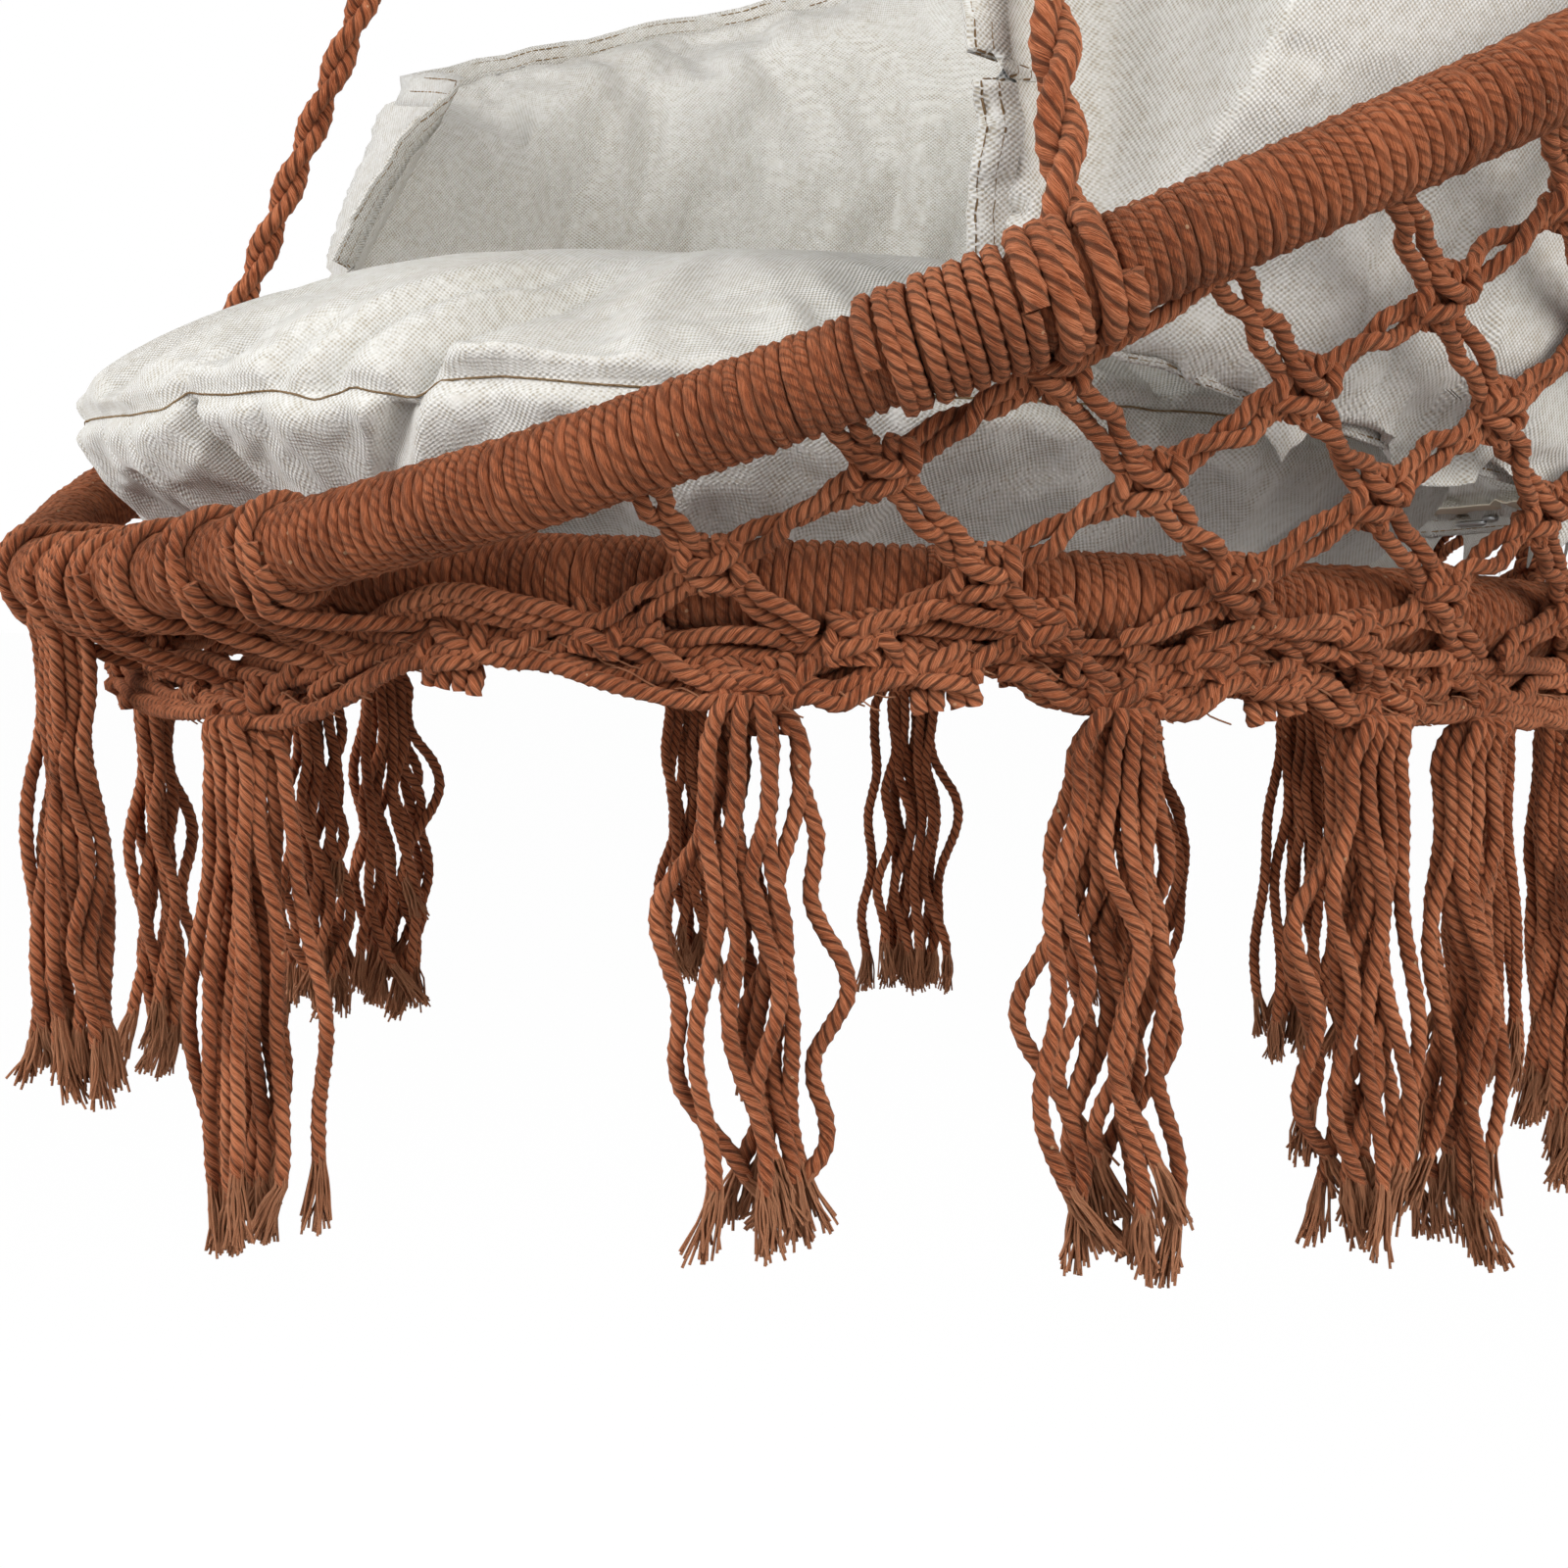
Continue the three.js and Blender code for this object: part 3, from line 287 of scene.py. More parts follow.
def lay_cord(name, lines, width, lay, finish, step=0.0018, groove=0.11, sides=9, ends=None):
    """Cords along lines of points, through the tree, as one plain mesh. ends thins the last points."""
    curve = bpy.data.curves.new(name, "CURVE")
    curve.dimensions = "3D"
    for line in lines:
        spline = curve.splines.new("POLY")
        spline.points.add(len(line) - 1)
        spline.points.foreach_set("co", [c for p in line for c in (*p, 1)])
        if ends:
            for point, radius in zip(spline.points, ends(len(line))):
                point.radius = radius
    obj = show(name, curve)
    tree_run = obj.modifiers.new("laid_cord", "NODES")
    tree_run.node_group = laying
    sizes = {"Width": width, "Lay": lay, "Step": step, "Groove": groove, "Sides": sides, "Finish": finish}
    for item in laying.interface.items_tree:
        if item.in_out == "INPUT" and item.name in sizes:
            tree_run[item.identifier] = sizes[item.name]
    return plain_mesh(obj)


def plain_mesh(obj):
    """The object with its modifiers worked into a mesh, in its place."""
    name = obj.name
    mesh = bpy.data.meshes.new_from_object(obj.evaluated_get(bpy.context.evaluated_depsgraph_get()))
    bpy.data.objects.remove(obj)
    mesh.name = name
    return show(name, mesh)


def cotton(name, pale, middle, deep, ply_turn=0):
    """Dyed cotton cord: dull, furry with short fibres, with shade painted darker down between its plies. Where the mesh
    has no plies, ply_turn is the length in which they go once round."""
    made, tree = material(name)
    along = add(tree, "Attribute", attribute_name="along").outputs["Fac"]
    around = add(tree, "Attribute", attribute_name="around").outputs["Vector"]
    sides = add(tree, "SeparateXYZ", {0: around})
    angle = calc(tree, "ARCTAN2", sides.outputs["Y"], sides.outputs["X"])
    if ply_turn:
        # The twist loosens and tightens, so that the strokes of neighbouring turns don't line up.
        angle = calc(tree, "MULTIPLY_ADD", along, tau / ply_turn, angle)
        slip = add(tree, "TexNoise", {"W": along, "Scale": 17.0, "Detail": 2}, noise_dimensions="1D")
        angle = calc(tree, "MULTIPLY_ADD", slip, 22.0, angle)
    wave = calc(tree, "COSINE", calc(tree, "MULTIPLY", angle, 3.0))
    crown = add(tree, "MapRange", {"Value": wave, "From Min": -1, "From Max": 0.2 if ply_turn else -0.25},
        interpolation_type="SMOOTHSTEP")
    # Fibres 0.3 mm thick and about 5 mm long, lying along the plies.
    streak = add(tree, "CombineXYZ", {"Z": calc(tree, "MULTIPLY", along, 260)})
    widened = add(tree, "VectorMath", {0: around, "Scale": 9.0}, operation="SCALE")
    laid = add(tree, "VectorMath", {0: widened, 1: streak}, operation="ADD")
    fibre = add(tree, "TexNoise", {"Vector": laid, "Scale": 1.0, "Detail": 4, "Roughness": 0.7})
    at = add(tree, "TexCoord").outputs["Object"]
    # Dye takes unevenly, in patches about 30 mm long.
    dye = add(tree, "TexNoise", {"Vector": at, "Scale": 33, "Detail": 3})
    shade = calc(tree, "MULTIPLY_ADD", fibre, 1.2, calc(tree, "MULTIPLY", dye, 0.4))
    tone = ramp(tree, shade, (0.62, deep), (0.95, pale), (0.78, middle))
    # Painted shade: the deep colour is mixed in down between the plies, away from their crowns, less where the mesh has
    # no plies of its own.
    kept = add(tree, "MapRange", {"Value": crown, "To Min": 0.45 if ply_turn else 0.12})
    ply_groove_painted_shade = add(tree, "Mix", {0: kept, 6: linear(deep), 7: tone}, data_type="RGBA")
    # A few undyed specks of seed and lint, under a millimetre across.
    cells = add(tree, "TexVoronoi", {"Vector": at, "Scale": 330})
    chosen = add(tree, "SeparateColor", {0: cells.outputs["Color"]})
    rare = calc(tree, "GREATER_THAN", chosen.outputs[0], 0.985)
    small = calc(tree, "LESS_THAN", cells.outputs["Distance"], 0.2)
    speck = calc(tree, "MULTIPLY", calc(tree, "MULTIPLY", rare, small), 0.45)
    colour = add(tree, "Mix", {0: speck, 6: ply_groove_painted_shade.outputs[2], 7: linear("#e9c9a0")}, data_type="RGBA")
    relief = calc(tree, "MULTIPLY_ADD", crown, 0.8 if ply_turn else 0.5, calc(tree, "MULTIPLY", fibre, 1.3))
    bump = add(tree, "Bump", {"Height": relief, "Strength": 0.9, "Distance": 0.0009 if ply_turn else 0.0008})
    shader = add(tree, "BsdfPrincipled", {
        "Base Color": colour.outputs[2], "Roughness": 0.93, "IOR": 1.45, "Specular IOR Level": 0.2,
        "Sheen Weight": 0.3, "Sheen Roughness": 0.5, "Sheen Tint": linear("#ffc49c"), "Normal": bump,
    })
    add(tree, "OutputMaterial", {"Surface": shader})
    return made


# Laid cotton cord, dyed terracotta: the plies themselves catch the light, soft and without gloss.
laid_cotton = cotton("laid_terracotta_cotton_cord", "#d68860", "#a55734", "#401a0d")

seat_inverse = seat_to_row.inverted()
whip_cord, turn_gap = 0.006, 0.0009
wrap_width = 0.029
rope_legs = []
for side, name in ((1, "left"), (-1, "right")):
    x = side * loop_spacing / 2
    legs = []
    for y_side, deg in ((-1, front_rope_degs[side]), (1, rear_rope_deg)):
        hoop = seat_to_row @ on_back_bar(radians(side * deg))
        bend = Vector((x, y_side * loop_radius, wire_low - loop_leg - leg_straight))
        foot = hoop + (bend - hoop).normalized() * (wrap_width / 2 + 0.005)
        rope_legs.append((foot, bend))
        leg = [foot.lerp(bend, t / 40) for t in range(40)] + [bend, bend + Vector((0, 0, leg_straight)),
            Vector((x, y_side * loop_radius, wire_low))]
        legs.append(leg)
    over = [Vector((x, -loop_radius * cos(pi * t / 8), wire_low + loop_radius * sin(pi * t / 8))) for t in range(1, 8)]
    whole = smooth_path(legs[0] + over + legs[1][::-1], 0.004)
    strands = twisted_pair(whole, rope_width - strand_width, rope_lay, side)
    rope = lay_cord("suspension_rope_" + name, strands, strand_width, strand_lay, laid_cotton, step=0.0025)
    length = sum((b - a).length for a, b in zip(whole, whole[1:]))
    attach(rope, "chair")
    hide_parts(name + "_rope_loop", "rope_front_" + name, "rope_rear_" + name)


# ---- Hanging ring ----
# A ring of 9 mm round steel wire, bent and butt-welded, then zinc plated. A hook holds it, so
# it is the fixed part, and the ropes' loops swing on it.
zinc, tree = material("zinc_plated_steel")
at = add(tree, "TexCoord").outputs["Object"]
# Drawing marks 0.4 mm apart, and a slight dulling where the loops have rubbed.
marks = add(tree, "TexNoise", {"Vector": at, "Scale": 2500, "Detail": 2})
dull = add(tree, "TexNoise", {"Vector": at, "Scale": 90, "Detail": 3})
add(tree, "OutputMaterial", {"Surface": add(tree, "BsdfPrincipled", {
    "Base Color": ramp(tree, dull, (0, "#9ea1a3"), (1, "#c9cbcc")).outputs[0], "Metallic": 1,
    "Roughness": add(tree, "MapRange", {"Value": dull, "To Min": 0.24, "To Max": 0.44}),
    "Normal": add(tree, "Bump", {"Height": marks, "Strength": 0.15, "Distance": 0.0001}),
})})
ring_radius, around_ring, around_wire = (ring_bore + ring_wire) / 2, 96, 20
points, faces = [], []
for i in range(around_ring):
    a = tau * i / around_ring
    off = atan2(sin(a + pi / 2), cos(a + pi / 2))
    weld = 0.0006 * max(0, 1 - (off / 0.09) ** 2)
    for j in range(around_wire):
        b = tau * j / around_wire
        r = ring_wire / 2 + weld * (1 + 0.25 * sin(7 * b + 3 * i))
        out = ring_radius + r * cos(b)
        points.append((out * cos(a), r * sin(b), out * sin(a) - ring_bore / 2))
for i in range(around_ring):
    for j in range(around_wire):
        k, n = i * around_wire, (i + 1) % around_ring * around_wire
        m = (j + 1) % around_wire
        faces.append((k + j, n + j, n + m, k + m))
ring_piece = form("hanging_ring_wire", points, faces, zinc)
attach(ring_piece, "root")
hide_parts("hanging_ring")


# ---- Top whipping ----
# The four rope ends are bound together under the ring with nine close turns of cotton cord,
# pulled tight, whose ends are tucked under the turns.
no_lay, thin_lay, thin_step = 1e6, 0.0135, 0.0022
wound_cotton = cotton("wound_terracotta_cotton_cord", "#c0714b", "#98502f", "#4a2012", ply_turn=0.0125)
loop_end = wire_low - loop_leg
whip_turns, whip_radius = 9, hypot(loop_spacing / 2, loop_radius) + rope_width / 2 + 0.0027
whip_top = loop_end + whip_turns * whip_cord / 2
turns_line = [
    Vector((whip_radius * cos(tau * t), whip_radius * sin(tau * t), whip_top - t * whip_cord * 0.98))
    for t in (k / 24 for k in range(whip_turns * 24 + 1))
]
whipping = lay_cord("top_whipping_cord", [turns_line], whip_cord, thin_lay, laid_cotton, step=thin_step)
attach(whipping, "chair")
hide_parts("top_whipping")


# ---- Hoop tubes ----
# Each hoop is a bent steel tube of 20 mm, closed over a spigot at the rear and powder coated
# black. The cord wrap hides all of it, so the CAD solids stay and get the coat alone.
coat, tree = material("black_powder_coat")
at = add(tree, "TexCoord").outputs["Object"]
# Orange peel of a powder coat, with waves about 1.5 mm across.
peel = add(tree, "TexNoise", {"Vector": at, "Scale": 650, "Detail": 2})
add(tree, "OutputMaterial", {"Surface": add(tree, "BsdfPrincipled", {
    "Base Color": ramp(tree, peel, (0, "#1b1b1c"), (1, "#272728")).outputs[0], "Roughness": 0.55,
    "Normal": add(tree, "Bump", {"Height": peel, "Strength": 0.2, "Distance": 0.0002}),
})})
for node in ("back_hoop_tube", "back_hoop_spigot", "seat_hoop_tube", "seat_hoop_spigot"):
    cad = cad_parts[node]
    cad.data.materials.clear()
    cad.data.materials.append(coat)


# ---- Hoop wraps ----
# Cotton cord wound closely round each tube, about 600 turns on the back hoop and 450 on the
# seat hoop, 4 mm apart. The turns lie at a slight slant and not quite evenly, as hands wind.
def helix(on_hoop, normal, out_of, radius, pitch, hoop_radius, first, last, steps, seed, loose=0.09):
    """A cord's line wound round a hoop from one angle to another, in the row frame."""
    rng, line = random.Random(seed), []
    count = round((last - first) * hoop_radius / pitch)
    drift = [rng.uniform(-1, 1) for _ in range(count + 2)]
    for k in range(count * steps + 1):
        t = k / steps
        i, share = int(t), t - int(t)
        uneven = drift[i] + (drift[i + 1] - drift[i]) * share
        a = first + (last - first) * t / count + loose * pitch * uneven / hoop_radius
        middle = on_hoop(a)
        out = (middle - out_of).normalized()
        r = radius + 0.0018 * loose * uneven
        line.append(seat_to_row @ (middle + (out * cos(tau * t) + normal * sin(tau * t)) * r))
    return line


wrap_cord, wrap_pitch = 0.0046, 0.004
for name, on_bar, normal, middle, hoop_radius, body in (
    ("back", on_back_bar, back_up, back_middle, back_radius, "chair"),
    ("seat", on_seat_bar, Vector((0, 0, 1)), Vector((0, 0, 0)), seat_radius, "seat"),
):
    line = helix(on_bar, normal, middle, wrap_width / 2 - wrap_cord / 2 + 0.0003, wrap_pitch, hoop_radius, 0.001,
        tau - 0.001, 14, name)
    wrap = lay_cord(name + "_hoop_winding", [line], wrap_cord, no_lay, wound_cotton, step=0.0058, groove=0, sides=7)
    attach(wrap, body)
    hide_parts(name + "_hoop_wrap")


# ---- Windings beside the ropes ----
# Over the wrap, each rope ends in two turns of both its strands round the hoop, and six turns
# of thinner cord beside them keep it from sliding along.
whip_offset = 5.2
for side, name in ((1, "left"), (-1, "right")):
    for end, deg in (("front", front_rope_degs[side]), ("rear", rear_rope_deg)):
        middle = radians(side * (deg - whip_offset))
        half = 6 * (whip_cord + turn_gap) / 2 / back_radius
        line = helix(on_back_bar, back_up, back_middle, wrap_width / 2 + 0.0009, 0.0050, back_radius, middle - half,
            middle + half, 20, name + end, 0.3)
        whip = lay_cord("hoop_whipping_" + end + "_" + name, [line], 0.0053, thin_lay, laid_cotton, step=thin_step)
        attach(whip, "chair")
        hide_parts("whipping_" + end + "_" + name)
        middle, half = radians(side * deg), 0.014 / back_radius
        line = helix(on_back_bar, back_up, back_middle, wrap_width / 2 + 0.0017, 0.0068, back_radius, middle - half,
            middle + half, 20, end + name, 0.35)
        eye = lay_cord("rope_turns_" + end + "_" + name, [line], 0.007, strand_lay, laid_cotton, step=0.0025)
        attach(eye, "chair")


# ---- Lashings ----
# Three lashings hold the hoops side by side at the front: three turns of cord each round both
# tubes, which work as hinges when the seat is folded up.
rng = random.Random(4)
lash_cord = 0.005
lash_radius = wrap_width / 2 + lash_cord / 2 - 0.0006
for name, x in (("right", -0.084), ("middle", 0.008), ("left", 0.062)):
    length, stops = 3 * (whip_cord + turn_gap), []
    route = list(zip((0, 45, 90, 90, 135, 180, 225, 270, 270, 315), (0, 0, 0, 1, 1, 1, 1, 1, 0, 0)))
    slip = [rng.uniform(-0.004, 0.004) for _ in range(8)]
    for i in range(3 * len(route) + 1):
        at_x = x + length * (i / (3 * len(route)) - 0.5) + slip[i // 5] * (i % 5) / 5 + slip[max(0,
                i // 5 - 1)] * (1 - i % 5 / 5)
        deg, outer = route[i % len(route)]
        centre = on_back_bar(asin(at_x / back_radius)) if outer else on_seat_bar(asin(at_x / seat_radius))
        stops.append(seat_to_row @ Vector((at_x, centre.y + cos(radians(deg)) * lash_radius,
                centre.z + sin(radians(deg)) * lash_radius)))
    lashing = lay_cord("hoop_lashing_" + name, [smooth_path(stops, 0.004)], lash_cord, thin_lay, laid_cotton,
        step=thin_step)
    middle = seat_to_row @ on_back_bar(asin(x / back_radius))
    seat_to_row @ on_seat_bar(asin(x / seat_radius))
    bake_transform(lashing)
    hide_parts("lashing_" + name)


# ---- Side net ----
# Pairs of cotton cord, square-knotted in staggered rows from the seat hoop up to the back hoop.
# Each knot has two cords that cross in front and behind round the two in its middle.
net_columns, first_column, row_step, first_row = 24, radians(47.3), 28, 5
stretch_from, stretch, lean = 3, 3, radians(1.3)
knot_width, knot_height, net_thickness, net_rows = 0.017, 0.013, 0.008, 11
net_cord, net_lay = 0.0053, 0.0118
net_stand = wrap_width / 2 + 0.0004 + net_thickness / 2


def on_net(a, z):
    low, high = on_seat_hoop(a) * (1 + net_stand / seat_radius), on_back_hoop(a)
    return low.lerp(high, z / high.z) if abs(high.z) > 1e-6 else low


def net_axes(a, z):
    """Along the net, up it and out of it, at a place."""
    along = (on_net(a + 0.004, z) - on_net(a - 0.004, z)).normalized()
    up = (on_net(a, z + 0.001) - on_net(a, z - 0.001)).normalized()
    out = along.cross(up).normalized()
    return along, out.cross(along), out


def row_height(row):
    return (first_row + row_step * row + stretch * max(0, row - stretch_from) ** 2) / 1000


def clears_back_hoop(a, z, room):
    off = on_net(a, z) - back_middle
    above = off.dot(back_up)
    return hypot(sqrt(off.length_squared - above * above) - back_radius, above) > wrap_width / 2 + room


def net_place(row, column):
    a = first_column + tau / net_columns * (column + row % 2 / 2)
    return a - lean * row * sin(a), row_height(row)


def knot_over(row, column, way):
    return row + 1, (column + (row % 2 if way > 0 else row % 2 - 1)) % net_columns


knots = {}
for row in range(net_rows):
    for column in range(net_columns):
        a, z = net_place(row, column)
        if z < on_back_hoop(a).z and clears_back_hoop(a, z, 0.009):
            knots[row, column] = a, z
for column in range(net_columns):
    if (0, column) in knots and not any(knot_over(0, column, way) in knots for way in (1, -1)):
        del knots[0, column]

# A square knot's two outer cords, as shares of its cord's width: along, up and out of the net.
front_cord = [(-1.5, 2.1, 0), (-1.35, 1.35, 0.25), (-0.8, 0.95, 0.85), (0, 0.72, 1.08), (0.8, 0.5, 0.9),
    (1.4, 0.15, 0.3), (1.38, -0.25, 0.2), (0.8, -0.4, 0.85), (0, -0.62, 1.05), (-0.8, -0.85, 0.8), (-1.4, -1.3, 0.2),
    (-1.5, -2.1, 0)]
back_cord = [(1.5, 2.1, 0), (1.62, 1.2, 0.5), (1.75, 0.5, 0.75), (1.45, 0.0, -0.1), (0.8, 0.15, -0.85), (0, 0.35, -1.0),
    (-0.8, 0.5, -0.8), (-1.4, 0.5, 0), (-1.72, 0.0, 0.62), (-1.68, -0.6, 0.55), (-1.1, -0.75, -0.6), (0, -0.7, -1.0),
    (1.1, -0.9, -0.6), (1.5, -1.4, 0), (1.5, -2.1, 0)]
rng = random.Random(11)


def square_knot(middle, along, up, out, cord, size=0.92, flip=1):
    """The four short lines of one square knot."""
    made = []
    for line in (front_cord, back_cord):
        made.append([middle + (along * x * flip + up * y + out * o) * cord * size for x, y, o in line])
    for x in (-0.5, 0.5):
        made.append([middle + (along * (x * wide) + up * y + out * 0) * cord * size for y,
                wide in ((2.1, 1.3), (1, 0.9), (0, 0.9), (-1, 0.9), (-2.1, 1.3))])
    return [smooth_path(line, 0.002) for line in made]


def pair_between(start, end, out, cord, wander=0.0019, cross=None):
    """Two cords side by side from one place to another, which often change sides on the way."""
    way = (end - start).normalized()
    across = way.cross(out).normalized()
    turn = rng.choice((0, 0, pi, -pi)) if cross is None else cross
    lines = []
    for k in (-1, 1):
        line = []
        for i in range(7):
            t = i / 6
            ease = t * t * (3 - 2 * t)
            swing = pi / 2 * k + turn * ease
            side = across * sin(swing) + out * cos(swing)
            loose = sin(pi * t) * Vector([rng.uniform(-1, 1) for _ in range(3)]) * wander
            line.append(start.lerp(end, t) + side * cord * 0.52 + loose)
        lines.append(smooth_path(line, 0.003))
    return lines


sectors = {}
for (row, column), (a, z) in knots.items():
    sector = sectors.setdefault(floor(((a - first_column) % tau) / tau * 12), [])
    along, up, out = net_axes(a, z)
    middle = on_net(a, z)
    tilt = Matrix.Rotation(rng.uniform(-0.16, 0.16), 3, out)
    sector += square_knot(middle, tilt @ along, tilt @ up, out, net_cord, flip=rng.choice((1, -1)))
    for way in (1, -1):
        leave = middle + along * way * knot_width * 0.32 + up * knot_height * 0.36
        above = knots.get(knot_over(row, column, way))
        if above:
            along_2, up_2, out_2 = net_axes(*above)
            arrive = on_net(*above) - along_2 * way * knot_width * 0.32 - up_2 * knot_height * 0.36
            sector += pair_between(leave, arrive, (out + out_2).normalized(), net_cord)
            continue
        # Over the top row the pair goes on to the back hoop and under it.
        target = net_place(row + 1, column + (row % 2 if way > 0 else row % 2 - 1))
        share = 0.02
        while share < 1.4 and clears_back_hoop(a + (target[0] - a) * share, z + (target[1] - z) * share, -0.004):
            share += 0.02
        arrive = on_net(a + (target[0] - a) * share, z + (target[1] - z) * share)
        if (arrive - leave).length > 0.006:
            sector += pair_between(leave, arrive, out, net_cord, cross=0)
    if row == 0:
        # Under the lowest row each pair runs down over the seat hoop into the fringe band.
        for way in (1, -1):
            b = a + way * tau / net_columns / 2 * 0.8
            leave = middle + along * way * knot_width * 0.32 - up * knot_height * 0.36
            low = Vector(((seat_radius + 0.0135) * sin(b), -(seat_radius + 0.0135) * cos(b), -0.0145))
            sector += pair_between(leave, low, out, net_cord)

for number, lines in sorted(sectors.items()):
    a = first_column + tau * (number + 0.5) / 12
    lines = [[seat_to_row @ p for p in line] for line in lines]
    part = lay_cord("side_net_%02d" % (number + 1), lines, net_cord, net_lay, laid_cotton)
    seat_to_row @ on_back_hoop(a)
    seat_to_row @ on_net(a, 0)
    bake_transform(part)
    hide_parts("side_net")


# ---- Seat net ----
# The same cords knotted in large squares on the slant across the seat hoop, hanging a little,
# with their ends taken round the hoop. It carries the seat cushion.
seat_pitch, seat_knot = 0.092, 0.018
seat_reach = seat_radius - wrap_width / 2
seat_low = (58 - 62 - 0.4 - 3.5) / 1000 / (1 - (0.046 / seat_reach) ** 2)


def on_seat_net(x, y):
    return Vector((x, y, seat_low * max(0, 1 - (x * x + y * y) / seat_reach ** 2)))


lines, up_axis = [], Vector((0, 0, 1))
seat_knots = [(i, j) for i in range(-7, 8) for j in range(-7, 8) if (i + j) % 2 == 0
    and hypot(i, j) * seat_pitch / 2 < seat_reach - seat_knot]
for i, j in seat_knots:
    x, y = i * seat_pitch / 2, j * seat_pitch / 2
    middle = on_seat_net(x, y)
    lines += square_knot(middle, Vector((1, 0, 0)), Vector((0, 1, 0)), up_axis, net_cord, size=0.72,
        flip=rng.choice((1, -1)))
    for di, dj in ((1, 1), (-1, 1), (-1, -1), (1, -1)):
        leave = middle + Vector((di, dj, 0)) * 0.005
        if (i + di, j + dj) in seat_knots:
            if dj > 0:
                lines += pair_between(leave, on_seat_net(x + di * seat_pitch / 2,
                        y + dj * seat_pitch / 2) - Vector((di, dj, 0)) * 0.005, up_axis, net_cord)
            continue
        way = Vector((di, dj, 0)).normalized()
        inward = Vector((x, y, 0)).dot(way)
        far = sqrt(inward ** 2 + (seat_reach + 0.003) ** 2 - x * x - y * y) - inward
        lines += pair_between(leave, on_seat_net(x + way.x * far, y + way.y * far), up_axis, net_cord)
seat_net = lay_cord("seat_net_cords", [[seat_to_row @ p for p in line] for line in lines], net_cord, net_lay,
    laid_cotton, step=0.0024)
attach(seat_net, "seat")
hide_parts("seat_net")


# ---- Fringe band ----
# The net's cords end under the seat hoop in a band of loose zigzags, in pairs that are knotted
# where they meet and lie over each other where they are slack.
hem_stations = [
    (12.6, 1), (31, 0), (50.4, 1), (61, 0), (72.1, 1), (82, 0), (91.5, 1), (101.8, 1), (124, 1), (147, 1), (160.4, 1),
    (172, 0),
    (185.4, 1), (205.7, 1), (218, 0), (229.8, 1), (241, 0), (252.6, 1), (270, 0), (287.9, 1), (297.6, 1), (312, 0),
    (327, 1), (345, 0),
]
hem_top, hem_bottom, hem_front_drop, hem_front = 0.015, 0.033, 0.015, radians(30)
hem_marks = [(hem_stations[-1][0] - 360, hem_stations[-1][1]), *hem_stations,
    (hem_stations[0][0] + 360, hem_stations[0][1])]


def hem_drop(a):
    """How much lower the band hangs at the front, where the lashings pass over it, and how much
    higher where no tassel pulls it down."""
    t = min(1, max(0, (hem_front - abs(atan2(sin(a), cos(a)))) / (hem_front / 2)))
    deg = a * 180 / pi % 360
    near, has = min(hem_marks, key=lambda mark: abs(mark[0] - deg))
    drawn = 0 if has else 0.0095 * exp(-((deg - near) / 8) ** 2)
    return hem_front_drop * t * t * (3 - 2 * t) - drawn


def on_hem(a, z, out=0):
    radius = seat_radius + max(sqrt(max(0, 0.0185 ** 2 - z * z)), wrap_width / 4) + out
    return Vector((radius * sin(a), -radius * cos(a), z))


lines, torn, low_places = [], [], []
for k, (deg, _) in enumerate(hem_stations):
    nexts = [hem_stations[(k + n) % len(hem_stations)][0] + 360 * ((k + n) // len(hem_stations)) for n in range(3)]
    a, b, c = (radians(d) for d in nexts)
    low, high = (a, -hem_bottom - hem_drop(a)), ((a + b) / 2, -hem_top - hem_drop((a + b) / 2))
    low_next = b, -hem_bottom - hem_drop(b)
    low_places.append(low)
    for (angle, z), size in ((low, 1.05), (high, 0.72)):
        middle, out = on_hem(angle, z), Vector((sin(angle), -cos(angle), 0))
        along = Vector((cos(angle), sin(angle), 0))
        tilt = Matrix.Rotation(rng.uniform(-0.3, 0.3), 3, out)
        lines += square_knot(middle, tilt @ along, tilt @ up_axis, out, net_cord, size=size, flip=rng.choice((1, -1)))
    for start, end in ((low, high), (high, low_next)):
        out = Vector((sin(start[0]), -cos(start[0]), 0))
        lines += pair_between(on_hem(*start), on_hem(*end), out, net_cord, wander=0.003)
    # Slack cords run on past a knot: close under the hoop, over the others and behind them.
    for lift, inward, sag in ((0.0098, -0.001, 0.0), (0.009, 0.007, 0.001), (0.0065, 0.002, 0.001),
            (0.0035, 0.008, 0.002), (0.0, 0.0, 0.004), (-0.003, 0.005, 0.003), (-0.005, -0.003, 0.004),
            (0.002, 0.014, 0.002)):
        span = (c - a) * rng.uniform(0.6, 1.0)
        first = a + rng.uniform(-0.4, 0.4) * (b - a)
        line = []
        for i in range(9):
            t = i / 8
            angle = first + span * t
            z = -0.0255 - hem_drop(angle) + lift - sag * sin(pi * t) + rng.uniform(-0.0022, 0.0022)
            line.append(on_hem(angle, z, rng.uniform(-0.0015, 0.0015) - inward))
        lines.append(smooth_path(line, 0.003))
    # Where fine yarns have torn, they stand out of the band's lower edge.
    for _ in range(7):
        first, z = a + rng.uniform(0, 1) * (b - a), -0.029 + rng.uniform(-0.006, 0.006)
        z -= hem_drop(first)
        reach, turn = rng.uniform(0.008, 0.02), rng.uniform(-0.12, 0.3)
        torn.append([on_hem(first + reach * t / seat_radius * cos(turn),
                z + reach * t * sin(turn) - 0.004 * t * t + 0.0012 * sin(5 * t + first),
                0.002 + 0.004 * sin(pi * t) * rng.uniform(0.2, 1)) for t in (0, 0.2, 0.4, 0.6, 0.8, 1)])
band = lay_cord("fringe_band", [[seat_to_row @ p for p in line] for line in lines], net_cord, net_lay, laid_cotton)
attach(band, "seat")
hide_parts("hem_net")
